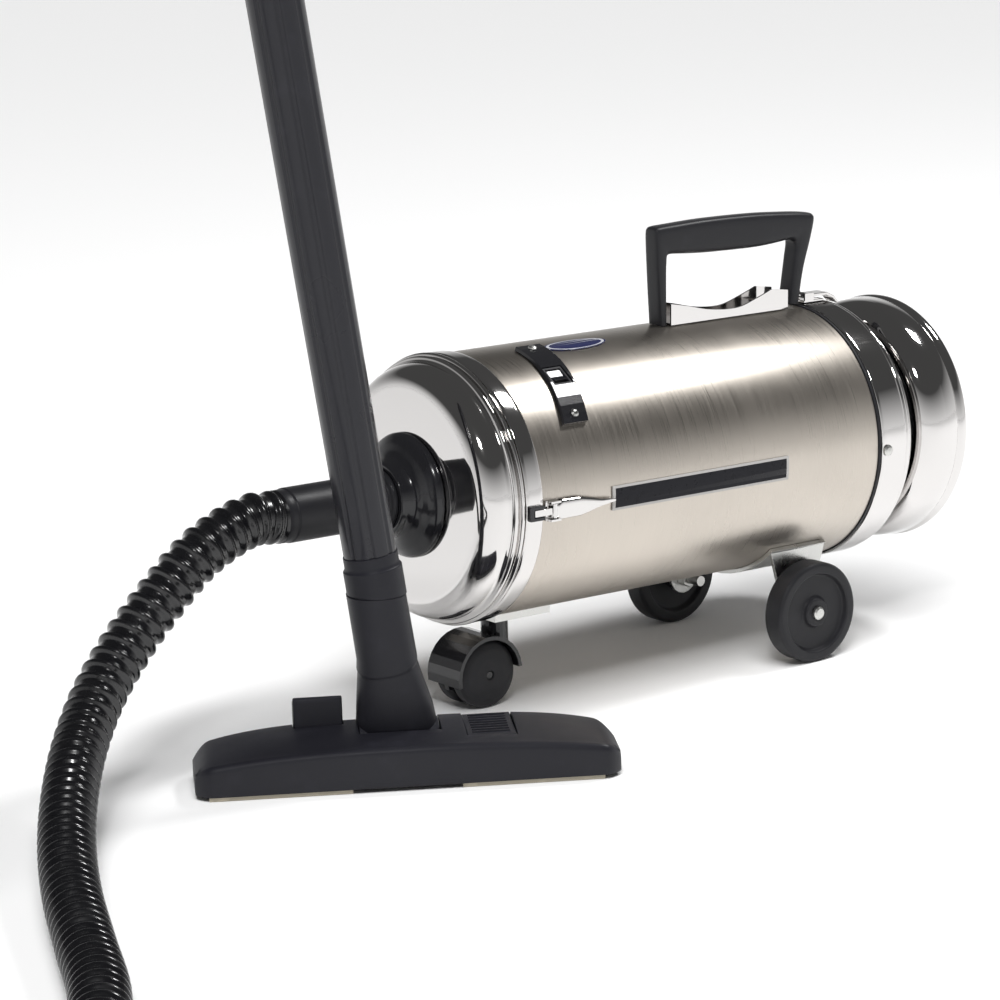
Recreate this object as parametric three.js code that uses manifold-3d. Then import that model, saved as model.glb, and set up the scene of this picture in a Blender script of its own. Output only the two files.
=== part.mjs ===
// Canister vacuum and blower: a brushed steel drum on three wheels with chrome end caps, a black
// carrying handle, a corrugated hose, a wand and a floor tool. Millimetres, +Z up.
import * as THREE from 'three';
import { mergeVertices } from 'three/addons/utils/BufferGeometryUtils.js';
import Module from 'manifold-3d';

const wasm = await Module();
wasm.setup();

// Where the machine stands: the middle of its footprint is at the origin, with the floor at z = 0.
const STAND = new THREE.Vector3(14.2, -55.42, 0);
const GAP = 0.3; // left between neighbours that touch

// Drum, measured along its own axis from the front end of the tube, which lies nose-up a little.
const DRUM_R = 96.5;
const DRUM_WALL = 1.5;
const DRUM_FRONT = -3;
const DRUM_REAR = 333;
const NOSE_UP = 1.564 * (Math.PI / 180);
const DRUM_ORIGIN = new THREE.Vector3(3.4, 0, 165);
const ROUND = 44; // facets round the large pressings
const DEG = Math.PI / 180;

// Front cap, band and hose inlet
const PLATE_X = -35.3;
const PLATE_R = 76.3;
const CAP_R = 92.8;
const CAP_SHEET = 1.4;
const BAND_R = 98.5;
const INLET_R = 45.2;
const INLET_MOUTH_X = -60;
const CUFF_END_X = -150;
const CUFF_R = 19.5;

// Rear band, end cover and bowl
const REAR_BAND_X = [336, 361];
const COVER_END_X = 375;
const BOWL_PLATE_X = 387;
const BOWL_RIM_X = 428;
const BOWL_R = 93.4;
const PORT_R = [19, 23];

// Carrying handle, over the drum's top line
const HANDLE_X = [191, 334];
const HANDLE_WIDTH = 16;
const CHANNEL_X = [203, 319];
const CHANNEL_WIDTH = 20;

// Wheels
const AXLE = new THREE.Vector3(279.4, 0, 38);
const WHEEL_R = 38;
const WHEEL_Y = [71.3, 90.2];
const CASTER_LOCAL_X = 42;
const CASTER_STEM = new THREE.Vector3(42.6, 0, 64.6);
const CASTER_TRAIL = 19;
const CASTER_WHEEL_R = 25;
const CASTER_WIDTH = 38;

// Floor tool: its neck stands at TOOL, and its length lies along the direction TOOL_TURN gives
const TOOL = new THREE.Vector3(-122.8, -103.9, 0);
const TOOL_TURN = Math.atan2(-0.528, 0.849);
const TOOL_FRONT = -40;
const TOOL_BACK = 29;
const TOOL_HEIGHT = 36;
const TOOL_SKIN = 3;
const TOOL_SHIFT = 3.5; // the neck stands this far left of the tool's middle
const NECK_TOP = new THREE.Vector3(-12.6, 0, 130);

// Wand: a straight tube that leans a little along the tool, and its bent top end
const WAND_DIRECTION = new THREE.Vector3(-0.1094, 0.068, 0.9917).normalize();
const WAND_START = new THREE.Vector3(-122.8, -103.9, 37.8);
const WAND_SPAN = [122, 579];
const WAND_R = [18.2, 19.6];
const WAND_BORE = 15.5;
const BEND_R = 85;
const BEND_ANGLE = 130 * DEG;
const BEND_HEADING = new THREE.Vector3(-0.995, -0.1, 0).normalize();

// Hose: from the inlet cuff down to the floor, round, and up to the bent end of the wand
const HOSE_R = 19;
const HOSE_BORE = 16;
const HOSE_POINTS = [
  [-146.9, 0, 169.1], [-171.9, 0, 169.8], [-213, -4, 156], [-250, -8, 131], [-286, -16, 104],
  [-320, -32, 79], [-355, -62, 57], [-392, -107, 41], [-430, -163, 30], [-469, -230, 23.5],
  [-508, -306, 20], [-549, -385, 19.6], [-599, -455, 19.6], [-668, -496, 20], [-742, -493, 24],
  [-800, -450, 36], [-831, -385, 58], [-832, -311, 92], [-806, -250, 140], [-762, -204, 195],
  [-713, -174, 257], [-661, -149, 324], [-610, -130, 393], [-561, -116, 457], [-512, -105, 514],
  [-463, -96, 567],
];
const HOSE_STEPS = 60;
const HOSE_SIDES = 8;

const tidy = (geometry) => {
  const bare = geometry.clone();
  for (const name of ['normal', 'uv']) bare.deleteAttribute(name);
  const merged = mergeVertices(bare, 1e-4);
  const from = merged.index.array;
  const kept = [];
  for (let i = 0; i < from.length; i += 3) {
    const [a, b, c] = [from[i], from[i + 1], from[i + 2]];
    if (a !== b && b !== c && c !== a) kept.push(a, b, c);
  }
  merged.setIndex(kept);
  if (signedVolume(merged) < 0) {
    for (let i = 0; i < kept.length; i += 3) [kept[i + 1], kept[i + 2]] = [kept[i + 2], kept[i + 1]];
    merged.setIndex(kept);
  }
  return merged;
};

function signedVolume(geometry) {
  const p = geometry.attributes.position;
  const [a, b, c] = [new THREE.Vector3(), new THREE.Vector3(), new THREE.Vector3()];
  let sum = 0;
  for (let i = 0; i < geometry.index.count; i += 3) {
    a.fromBufferAttribute(p, geometry.index.getX(i));
    b.fromBufferAttribute(p, geometry.index.getX(i + 1));
    c.fromBufferAttribute(p, geometry.index.getX(i + 2));
    sum += a.dot(b.cross(c)) / 6;
  }
  return sum;
}

const toSolid = (geometry) => {
  const clean = tidy(geometry);
  const mesh = { numProp: 3, vertProperties: new Float32Array(clean.attributes.position.array) };
  return new wasm.Manifold(new wasm.Mesh({ ...mesh, triVerts: new Uint32Array(clean.index.array) }));
};

const toGeometry = (solid) => {
  const { vertProperties, triVerts } = solid.getMesh();
  const geometry = new THREE.BufferGeometry();
  geometry.setAttribute('position', new THREE.BufferAttribute(new Float32Array(vertProperties), 3));
  geometry.setIndex(new THREE.BufferAttribute(new Uint32Array(triVerts), 1));
  return geometry;
};

const cut = (geometry, ...tools) =>
  toGeometry(tools.reduce((left, tool) => left.subtract(toSolid(tool)), toSolid(geometry)));
const join = (...pieces) => toGeometry(pieces.map(toSolid).reduce((a, b) => a.add(b)));

// A box between two corners
const block = (low, high) => {
  const size = high.map((v, i) => v - low[i]);
  return new THREE.BoxGeometry(...size).translate(...high.map((v, i) => (v + low[i]) / 2));
};

// A round piece on the X axis from a profile of [x, radius] points; a ring's profile closes on itself
const turned = (profile, facets = ROUND, ring = true) => {
  const points = profile.map(([x, r]) => new THREE.Vector2(r, x));
  if (ring) points.push(points[0].clone());
  return new THREE.LatheGeometry(points, facets).rotateZ(-Math.PI / 2);
};

// A straight ring between two stations on the X axis
const ringX = (x0, x1, inner, outer, facets = ROUND) =>
  turned([[x0, inner], [x1, inner], [x1, outer], [x0, outer]], facets);

// A rod on the X, Y or Z axis through a point
const rod = (axis, from, to, radius, at, facets = 24) => {
  const body = new THREE.CylinderGeometry(radius, radius, to - from, facets);
  body.translate(0, (from + to) / 2, 0);
  if (axis === 'x') body.rotateZ(-Math.PI / 2);
  if (axis === 'z') body.rotateX(Math.PI / 2);
  return body.translate(...at);
};

// Points of a quarter ellipse from the flat of a pressing to its wall
const shoulder = (xFlat, rFlat, xWall, rWall, steps = 5) =>
  Array.from({ length: steps + 1 }, (_, i) => {
    const t = (i / steps) * (Math.PI / 2);
    return [xWall + (xFlat - xWall) * Math.cos(t), rFlat + (rWall - rFlat) * Math.sin(t)];
  });

// A flat outline in X and Z, extruded across Y and centred on it
const sideways = (outline, width, bevel = 0) => {
  const points = Array.isArray(outline) && outline.map((p) => new THREE.Vector2(...p));
  const shape = points ? new THREE.Shape(points) : outline;
  const depth = width - 2 * bevel;
  const options = { depth, bevelEnabled: bevel > 0, bevelSize: bevel, bevelThickness: bevel };
  options.bevelOffset = -bevel;
  options.bevelSegments = 2;
  options.curveSegments = 8;
  return new THREE.ExtrudeGeometry(shape, options).translate(0, 0, -depth / 2).rotateX(Math.PI / 2);
};

// A flat outline in Y and Z, extruded between two stations on the X axis
const lengthways = (outline, x0, x1) => {
  const shape = new THREE.Shape(outline.map((p) => new THREE.Vector2(...p)));
  const body = new THREE.ExtrudeGeometry(shape, { depth: x1 - x0, bevelEnabled: false });
  return body.applyMatrix4(new THREE.Matrix4().set(0, 0, 1, x0, 1, 0, 0, 0, 0, 1, 0, 0, 0, 0, 0, 1));
};

// Part of a hoop round the X axis; angles rise from -Y towards +Z
const hoopPart = (x0, x1, inner, outer, fromDeg, toDeg, steps = 10) => {
  const at = (radius, deg) => {
    const a = THREE.MathUtils.degToRad(deg);
    return [-radius * Math.cos(a), radius * Math.sin(a)];
  };
  const angles = Array.from({ length: steps + 1 }, (_, i) => fromDeg + ((toDeg - fromDeg) * i) / steps);
  const outline = angles.map((d) => at(outer, d));
  return lengthways([...outline, ...angles.reverse().map((d) => at(inner, d))], x0, x1);
};

// Turns something standing on the drum's top line round to an angle of the same kind
const radial = (geometry, deg) => geometry.rotateX(THREE.MathUtils.degToRad(90 - deg));

// Skins a row of closed loops that all have the same number of points, with flat ends
const loft = (loops) => {
  const count = loops[0].length;
  const positions = loops.flat().flat();
  const index = [];
  for (let j = 0; j < loops.length - 1; j += 1) {
    for (let i = 0; i < count; i += 1) {
      const [a, b] = [j * count + i, j * count + ((i + 1) % count)];
      index.push(a, b, b + count, a, b + count, a + count);
    }
  }
  const last = (loops.length - 1) * count;
  for (let i = 1; i < count - 1; i += 1) index.push(0, i + 1, i, last, last + i, last + i + 1);
  const geometry = new THREE.BufferGeometry();
  geometry.setAttribute('position', new THREE.Float32BufferAttribute(positions, 3));
  geometry.setIndex(index);
  return geometry;
};

const finishes = {
  brushed: { color: 0xb9ada0, roughness: 0.35, metalness: 1 },
  chrome: { color: 0xd8d8da, roughness: 0.06, metalness: 1 },
  zinc: { color: 0xb4b4b0, roughness: 0.3, metalness: 1 },
  gloss: { color: 0x101012, roughness: 0.15, metalness: 0 },
  matte: { color: 0x1d1d20, roughness: 0.6, metalness: 0 },
  rubber: { color: 0x121212, roughness: 0.8, metalness: 0 },
  paper: { color: 0xd9cfb8, roughness: 0.9, metalness: 0 },
  copper: { color: 0x8a5a3a, roughness: 0.4, metalness: 1 },
  pale: { color: 0xcfc8ba, roughness: 0.5, metalness: 0 },
  label: { color: 0x0c0c10, roughness: 0.25, metalness: 0 },
};

const piece = (name, finish, geometry) => {
  const mesh = new THREE.Mesh(tidy(geometry), new THREE.MeshStandardMaterial(finishes[finish]));
  mesh.name = name;
  return mesh;
};

// ---- drum, front cap and inlet ----

function drum() {
  const skin = ringX(DRUM_FRONT, DRUM_REAR, DRUM_R - DRUM_WALL, DRUM_R, 64);
  const tube = cut(skin, switchHole(), ...STRAP_SCREWS.map(strapScrewHole));
  const bandInner = DRUM_R + GAP;
  const band = [
    [-4.8, bandInner], [-4.4, BAND_R - 0.6], [-3, BAND_R], [8.4, BAND_R], [10, BAND_R - 0.5],
    [10.8, bandInner],
  ];
  return [
    piece('body_tube', 'brushed', tube),
    piece('front_band', 'chrome', turned(band)),
  ];
}

// The cap's outside from the inlet hole over the shoulder to the two rolled beads at its open edge
function capOutside(hole) {
  const beads = [
    [-14, 93.4], [-12.6, 96.6], [-11.2, 97.1], [-9.9, 96.2], [-8.9, 98.4], [-7.4, 99], [-6.2, 98], [-5.4, 96],
  ];
  return [[PLATE_X, hole], ...shoulder(PLATE_X, PLATE_R, -17, CAP_R), ...beads];
}

function frontCap() {
  const hole = 27;
  const inside = [
    [-5.4, 95.2], [-8, 95], [-13, 92.2],
    ...shoulder(PLATE_X + CAP_SHEET, PLATE_R, -17, CAP_R - CAP_SHEET, 3).reverse(),
    [PLATE_X + CAP_SHEET, hole],
  ];
  const outer = [
    [PLATE_X - GAP, 24], [PLATE_X - GAP, INLET_R], [-38.6, INLET_R], [-41.5, 43.4], [-45, 38.5], [-47.5, 33],
    [-50, 29.4], [-54, 27.4], [INLET_MOUTH_X, 26.6], [INLET_MOUTH_X, 21.5], [-40, 21.5], [-40, 24],
  ];
  return [
    piece('front_cap', 'chrome', turned([...capOutside(hole), ...inside])),
    piece('inlet_collar', 'gloss', turned(outer, 28)),
  ];
}

function filterAndMotor() {
  const bagOut = [[-33, 21], [-33, 42], [-20, 66], [10, 78], [110, 80], [140, 62], [152, 22], [154, 0]];
  const bagIn = [[152.6, 0], [150.6, 21], [139, 60.4], [109, 78.4], [10, 76.4], [-20, 64], [-31.4, 21]];
  const bulkhead = [[166, 50], [169, 50], [169, 93.4], [180, 93.4], [180, 94.5], [166, 94.5]];
  const housing = [
    [170, 18], [170, 70], [206, 70], [206, 50], [293, 50], [297, 44], [297, 11.3], [290, 11.3], [290, 14],
    [295, 14], [295, 43], [292, 48], [204, 48], [204, 68], [172, 68], [172, 18],
  ];
  const rotor = [
    [174, 0], [174, 4.5], [218, 4.5], [222, 26], [262, 26], [264, 14], [280, 14], [281, 4.5], [300, 4.5],
    [300, 0],
  ];
  const bearingPlate = [[206.3, 4.9], [213, 4.9], [213, 14], [208.5, 14], [208.5, 47], [206.3, 47]];
  const fan = [[180, 5.2], [180, 22], [184, 62], [186, 62], [190, 26], [196, 26], [196, 5.2]];
  return [
    piece('filter_bag', 'paper', turned([...bagOut, ...bagIn], 20)),
    piece('motor_bulkhead', 'zinc', turned(bulkhead, 28)),
    piece('motor_housing', 'zinc', turned(housing, 20)),
    piece('rotor', 'copper', turned(rotor, 16, false)),
    piece('impeller', 'zinc', turned(fan, 20)),
    piece('stator', 'copper', ringX(220, 264, 28, 47.2, 20)),
    piece('bearing_front', 'zinc', turned(bearingPlate, 24)),
    piece('bearing_rear', 'zinc', ringX(290, 297, 4.9, 11, 24)),
    piece('exhaust_filter', 'paper', ringX(345, 360, 56, 92, 32)),
  ];
}

// ---- rear band, end cover and bowl ----

function rearEnd() {
  const [bandFrom, bandTo] = REAR_BAND_X;
  const skin = DRUM_R + GAP;
  const band = [
    [bandFrom, skin], [bandFrom + 0.6, 98], [bandFrom + 2, 98.4], [bandTo - 2, 98.4], [bandTo - 0.5, 98],
    [bandTo, skin],
  ];
  const steps = [
    [362.6, 97.6], [364.6, 97], [366, 93.6], [368, 94.2], [369.8, 92.8], [371, 89.6], [373, 89.8],
    [COVER_END_X, 87],
  ];
  const cover = [
    [bandFrom, 94], [bandFrom, DRUM_R], [bandTo + GAP, DRUM_R], ...steps, [COVER_END_X, 44],
    [COVER_END_X - 2, 44], [COVER_END_X - 2, 86], [367, 91], [361, 94],
  ];
  const neck = ringX(COVER_END_X + GAP, BOWL_PLATE_X - GAP, 58, 62, 36);
  const wallX = 409;
  const bowlOut = [
    [BOWL_PLATE_X, 50], ...shoulder(BOWL_PLATE_X, 76, wallX, 92.6), [418, BOWL_R], [419.4, 92.4], [421, 93.8],
    [425, 94], [BOWL_RIM_X - 0.6, 93], [BOWL_RIM_X, 91.4],
  ];
  const bowlIn = [
    [BOWL_RIM_X - 1, 90.6], [420, 91],
    ...shoulder(BOWL_PLATE_X + CAP_SHEET, 76, wallX, 91.1, 3).reverse(),
    [BOWL_PLATE_X + CAP_SHEET, 50],
  ];
  return [
    piece('rear_gasket', 'rubber', ringX(DRUM_REAR + GAP, bandFrom - GAP, 90, 97.4)),
    piece('rear_band', 'chrome', turned(band)),
    piece('end_cover', 'chrome', turned(cover)),
    piece('rear_neck', 'matte', neck),
    piece('rear_bowl', 'chrome', turned([...bowlOut, ...bowlIn])),
    ...exhaust(),
    piece('band_screw', 'zinc', bandScrew()),
  ];
}

function exhaust() {
  const [bore, portR] = PORT_R;
  const grilleX = 399;
  const disc = ringX(grilleX, grilleX + 2.5, portR + GAP, 87, 40);
  const slotCount = 12;
  const slots = [];
  for (let i = 0; i < slotCount; i += 1) {
    const slot = block([grilleX - 2, -3, 34], [grilleX + 5, 3, 74]);
    slots.push(slot.rotateX((i / slotCount) * 2 * Math.PI));
  }
  const port = [
    [391, bore], [424, bore], [424, portR], [grilleX + 6, portR], [grilleX + 5, 30], [grilleX + 2.8, 30],
    [grilleX + 2.8, portR], [391, portR],
  ];
  return [
    piece('exhaust_grille', 'matte', cut(disc, ...slots)),
    piece('blower_port', 'gloss', turned(port, 24)),
  ];
}

const bandScrew = () => turned([[0, 0], [0, 4.4], [1.2, 4.2], [2.4, 2.6], [2.8, 0]], 16, false)
  .rotateZ(-Math.PI / 2).translate(340.5, -98.7, -2);

// ---- handle ----

function handle() {
  const [front, rear] = HANDLE_X;
  const outer = [
    [front + 6, 90], [front, 160], [front, 169.4], [front + 4, 170.4], [front + 51, 172], [front + 99, 171.2],
    [rear + 10.4, 167.2], [rear + 15.6, 163.4], [rear + 1, 116], [rear - 1, 98.8],
  ];
  const inner = [
    [rear - 11, 98.8], [rear - 8.4, 118], [rear - 4, 139], [rear - 4.4, 145], [rear - 8, 147.6],
    [rear - 33, 146.6],
    [front + 82, 145], [front + 54, 146], [front + 16, 149], [front + 11.4, 147.6], [front + 11, 90],
  ];
  const seat = rod('x', 100, 400, DRUM_R + GAP, [0, 0, 0], 64);
  const grip = cut(sideways([...outer, ...inner], HANDLE_WIDTH, 2.4), seat);
  return [piece('handle_grip', 'matte', grip), piece('handle_channel', 'chrome', channel())];
}

function channel() {
  const [from, to] = CHANNEL_X;
  const sheet = 1.4;
  const floor = DRUM_R + GAP;
  const top = new THREE.Shape();
  top.moveTo(from, floor);
  top.lineTo(from, 112.7);
  const wave = [[220, 109.3], [244, 104.1], [268, 102.9], [288, 108.1], [303, 113.3]];
  top.splineThru(wave.map((p) => new THREE.Vector2(...p)));
  top.lineTo(to, 111.1);
  top.lineTo(to, floor);
  const half = CHANNEL_WIDTH / 2 - sheet;
  return cut(sideways(top, CHANNEL_WIDTH), block([from - 1, -half, floor + sheet], [to + 1, half, 130]));
}

// ---- switch, plates and latches ----

const STRAP = { x: 52, width: 22, from: 33, to: 82, slant: 0.256 };
const strapX = (deg) =>
  STRAP.x + STRAP.slant * DRUM_R * (Math.sin(deg * DEG) - Math.sin(STRAP.from * DEG));
const SWITCH_DEG = 57;
const SWITCH_X = strapX(SWITCH_DEG);
const STRAP_SCREWS = [37, 78];

const strapScrewHole = (deg) => radial(rod('z', 85, 106, 1.9, [strapX(deg), 0, 0], 10), deg);

const switchHole = () => radial(block([SWITCH_X - 8.8, -9.3, 80], [SWITCH_X + 8.8, 9.3, 110]), SWITCH_DEG);

function switchParts() {
  const strap = hoopPart(-STRAP.width / 2, STRAP.width / 2, DRUM_R + GAP, 99.6, STRAP.from, STRAP.to, 12);
  const k = STRAP.slant;
  const shift = STRAP.x - k * DRUM_R * Math.sin(STRAP.from * DEG);
  strap.applyMatrix4(new THREE.Matrix4().set(1, 0, k, shift, 0, 1, 0, 0, 0, 0, 1, 0, 0, 0, 0, 1));
  const x = SWITCH_X;
  const shell = cut(block([x - 8.5, -9, 84], [x + 8.5, 9, 98.4]), block([x - 6.6, -7, 88], [x + 6.6, 7, 99]));
  const side = [[-5.2, -1], [-5.6, 3.2], [0, 1.8], [5.6, 3.2], [5.2, -1], [0, -4]];
  const paddle = lengthways(side, x - 6.2, x + 6.2);
  paddle.rotateX(-8 * DEG).translate(0, 0, 95.4);
  const screw = (deg) => {
    const stem = [[-7, 0], [-7, 1.5], [0, 1.5], [0, 3.3], [0.9, 3.1], [1.7, 1.8], [1.9, 0]];
    return radial(turned(stem, 14, false).rotateY(-Math.PI / 2).translate(strapX(deg), 0, 99.9), deg);
  };
  return [
    piece('switch_strap', 'gloss', cut(strap, switchHole(), ...STRAP_SCREWS.map(strapScrewHole))),
    piece('switch_housing', 'matte', radial(shell, SWITCH_DEG)),
    piece('rocker', 'gloss', radial(paddle, SWITCH_DEG)),
    piece('strap_screw_lower', 'zinc', screw(STRAP_SCREWS[0])),
    piece('strap_screw_upper', 'zinc', screw(STRAP_SCREWS[1])),
  ];
}

function plates() {
  const seat = DRUM_R + GAP;
  const oval = rod('z', 90, 105, 1, [0, 0, 0], 32).scale(28, 8.6, 1).translate(104, 0, 0);
  const badge = toSolid(hoopPart(70, 134, seat, seat + 0.8, 72, 86, 6)).intersect(toSolid(radial(oval, 79)));
  return [
    piece('name_plate', 'label', hoopPart(74, 242, seat, seat + 1.2, -6.4, 4, 4)),
    piece('oval_badge', 'label', toGeometry(badge)),
  ];
}

// A draw latch on the drum's near side: a lever on a base plate pulls a hook over the band's keeper
function frontLatch() {
  const seat = -(DRUM_R + GAP);
  const [low, high] = [-9.4, 5];
  const ear = (z) => block([13, seat - 7, z], [22, seat - 0.5, z + 1.5]);
  const base = join(block([12, seat - 1.6, low], [34, seat, high]), ear(low), ear(high - 1.5));
  const outline = [[18, -7.2], [40, -6.6], [62, -5], [73, -3.8], [73, -0.8], [62, 0.4], [40, 2.2], [18, 2.8]];
  const blade = sideways(outline, 1.6).translate(0, seat - 4.1, 0);
  const barrel = rod('z', -7.4, 3, 2, [18, seat - 4.1, 0], 14);
  const keeper = cut(
    block([-4.4, -102.4, -7.4], [8.8, -98.9, 3]),
    block([-1, -103, -5.2], [10, -100.4, 0.8]),
  );
  return [
    piece('latch_base', 'chrome', base),
    piece('latch_lever', 'chrome', join(blade, barrel)),
    piece('latch_keeper', 'gloss', keeper),
    piece('latch_hook', 'chrome', block([0, -102, -4.6], [15.4, -100.7, 0.2])),
  ];
}

const REAR_LATCH = { x: 342, z: 103.4 };

function rearLatch() {
  const { x, z } = REAR_LATCH;
  const seat = 98.7;
  const ear = (y) => block([x - 4, y, seat + 1], [x + 5, y + 1.5, z + 2.4]);
  const base = join(block([x - 5, -8.5, seat], [x + 15, 8.5, seat + 1.6]), ear(-8.5), ear(7));
  const side = [
    [x, z - 1], [x + 20, z - 1.2], [x + 27, z - 4.4], [x + 31, z - 8.4], [x + 32.4, z - 7.6],
    [x + 28, z - 2.6], [x + 21, z + 0.8], [x, z + 1],
  ];
  const lever = join(sideways(side, 12), rod('y', -6.6, 6.6, 2.2, [x, 0, z], 14));
  return [piece('rear_latch_base', 'chrome', base), piece('rear_latch_lever', 'chrome', lever)];
}

// ---- wheels ----

function chassis() {
  const axleZ = -119.4;
  const x = AXLE.x;
  const foot = Array.from({ length: 9 }, (_, i) => {
    const a = Math.PI + (i / 8) * Math.PI;
    return [x + 13 * Math.cos(a), axleZ + 13 * Math.sin(a)];
  });
  const leg = (y) => sideways([[x - 27, -73], ...foot, [x + 27, -73]], 3).translate(0, y, 0);
  const strap = hoopPart(x - 27, x + 27, DRUM_R + GAP, 99.8, -133, -47, 14);
  const bracket = join(strap, leg(-65.5), leg(65.5));
  const saddle = cut(
    block([28, -19, -100.6], [79, 19, -92]),
    rod('x', 0, 100, DRUM_R + GAP, [0, 0, 0], 64),
    rod('z', -105, -90, 5.6, [CASTER_LOCAL_X, 0, 0], 20),
  );
  return [
    piece('rear_bracket', 'zinc', cut(bracket, rod('y', -80, 80, 4.4, [x, 0, axleZ], 20))),
    piece('caster_plate', 'zinc', saddle),
  ];
}

function rearWheels() {
  const [inner, outer] = WHEEL_Y;
  const middle = (inner + outer) / 2;
  const half = (outer - inner) / 2;
  const tyre = [
    [-half - 3.8, 4.4], [-half - 3.8, 8], [-5, 10], [-5, 27], [-half, 29], [-half, 36], [-half + 2, WHEEL_R],
    [half - 2, WHEEL_R], [half, 36], [half, 30], [5, 27.5], [5, 11.5], [half - 0.6, 10], [half - 0.6, 4.4],
  ];
  const bolt = [
    [-37, 0], [-37, 4], [half - 0.3, 4], [half - 0.3, 5.2], [half + 1.4, 5], [half + 2.6, 3.6],
    [half + 2.8, 0],
  ];
  const nut = cut(rod('x', -24.4, -17.1, 7.4, [0, 0, 0], 6), rod('x', -60, 0, 4.3, [0, 0, 0], 16));
  const parts = [];
  for (const [side, turn] of [['left', -Math.PI / 2], ['right', Math.PI / 2]]) {
    const place = (geometry) => {
      const copy = geometry.clone().rotateZ(turn);
      return copy.translate(AXLE.x, Math.sign(turn) * middle, AXLE.z);
    };
    parts.push(piece(`rear_wheel_${side}`, 'rubber', place(turned(tyre, 30))));
    parts.push(piece(`axle_bolt_${side}`, 'zinc', place(turned(bolt, 20, false))));
    parts.push(piece(`axle_nut_${side}`, 'zinc', place(nut)));
  }
  return parts;
}

function caster() {
  const { x, z } = CASTER_STEM;
  const hubX = x - CASTER_TRAIL;
  const hubZ = CASTER_WHEEL_R;
  const arc = (radius, fromDeg, toDeg, steps) =>
    Array.from({ length: steps + 1 }, (_, i) => {
      const a = (fromDeg + ((toDeg - fromDeg) * i) / steps) * DEG;
      return [hubX + radius * Math.cos(a), hubZ + radius * Math.sin(a)];
    });
  const hood = sideways([...arc(29, 4, 190, 14), ...arc(26.2, 190, 4, 14)], CASTER_WIDTH);
  const web = sideways([...arc(27.5, -20, 200, 12), [hubX, hubZ - 9]], 5);
  const stem = rod('z', 44, z - 1.6, 10, [x, 0, 0], 24);
  const pin = rod('z', z - 4, z + 2, 5, [x, 0, 0], 20);
  const axle = rod('y', -17.4, 17.4, 2.6, [hubX, 0, hubZ], 14);
  const well = (y) => rod('y', y, y + 16, 26.2, [hubX, 0, hubZ], 40);
  const stemTrim = cut(stem, well(-18.7), well(2.7));
  const wheel = turned([
    [3.1, 2.9], [3.1, 22], [4.4, 24.4], [7, CASTER_WHEEL_R], [16.6, CASTER_WHEEL_R], [18.4, 23.6], [18.4, 19],
    [16, 17], [16, 7], [17.6, 5], [17.6, 2.9],
  ], 24);
  return [
    piece('caster_hood', 'gloss', join(hood, web, stemTrim, pin, axle)),
    piece('caster_wheel_left', 'rubber', wheel.clone().rotateZ(-Math.PI / 2).translate(hubX, 0, hubZ)),
    piece('caster_wheel_right', 'rubber', wheel.clone().rotateZ(Math.PI / 2).translate(hubX, 0, hubZ)),
  ];
}

// ---- floor tool, in its own frame: X along its length, -Y its front, Z up ----

const TOOL_STATIONS = [-146, -143, -136, -124, -108, -86, -56, 0, 56, 86, 108, 124, 136, 143, 146];
const PIVOT = { y: 8, z: 21 };
const NOTCH = 28.5; // half the width of the slot the neck stands in

// Height of the tool's front and back edges at a distance from its middle
const toolHeights = (w) => {
  const u = Math.min(1, Math.abs(w) / 146);
  return [TOOL_HEIGHT - 5 - 9 * u ** 2.6, TOOL_HEIGHT - 13 * u ** 3.6];
};

function toolShell(inset, bottom) {
  const limit = 146 - inset;
  const loops = TOOL_STATIONS.map((station) => {
    const w = Math.max(-limit, Math.min(limit, station * (limit / 146)));
    const near = Math.max(0, Math.abs(w) + inset - 134);
    const [front, back] = toolHeights(w).map((h) => h - inset);
    const y0 = TOOL_FRONT + inset + near;
    const y1 = TOOL_BACK - inset - near * 1.4;
    const x = w + TOOL_SHIFT;
    return [
      [x, y0, bottom], [x, y0, front - 4], [x, y0 + 1.4, front - 1], [x, y0 + 4.6, front], [x, y1 - 16, back],
      [x, y1 - 5, back - 0.6], [x, y1 - 1, back - 3.4], [x, y1, back - 9], [x, y1, bottom],
    ];
  });
  return loft(loops);
}

function nozzle() {
  const inner = toolShell(TOOL_SKIN, -5);
  const notch = block([-NOTCH, PIVOT.y - 20, -1], [NOTCH, 40, 60]);
  const leftWell = block([-72.5, 9.5, 20], [-37.5, 25.5, 60]);
  const rightWell = block([44.5, -24.5, 20], [79.5, 25.5, 60]);
  const cheek = (x) => block([x, PIVOT.y - 20, 3.3], [x + 3, TOOL_BACK - 1, 30]);
  const frontCheek = block([-NOTCH - 3, PIVOT.y - 23, 3.3], [NOTCH + 3, PIVOT.y - 20, 30]);
  const boss = (x) => rod('x', x, x + 8, 13.6, [0, PIVOT.y, PIVOT.z], 24);
  const bore = rod('x', -40, 40, 11, [0, PIVOT.y, PIVOT.z], 24);
  const hollow = toSolid(toolShell(0, 3.3)).subtract(toSolid(inner)).subtract(toSolid(notch));
  const heel = (x) => block([x, TOOL_BACK - 8, 0], [x + 96, TOOL_BACK - 1, 5]);
  const sides = [cheek(-NOTCH - 3), cheek(NOTCH), boss(-NOTCH - 2), boss(NOTCH - 6)];
  const walls = [...sides, frontCheek, heel(-125), heel(29)].reduce(
    (all, wall) => all.add(toSolid(wall)),
    hollow,
  );
  const open = [leftWell, rightWell, bore].reduce((all, tool) => all.subtract(toSolid(tool)), walls);
  return toGeometry(open);
}

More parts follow.
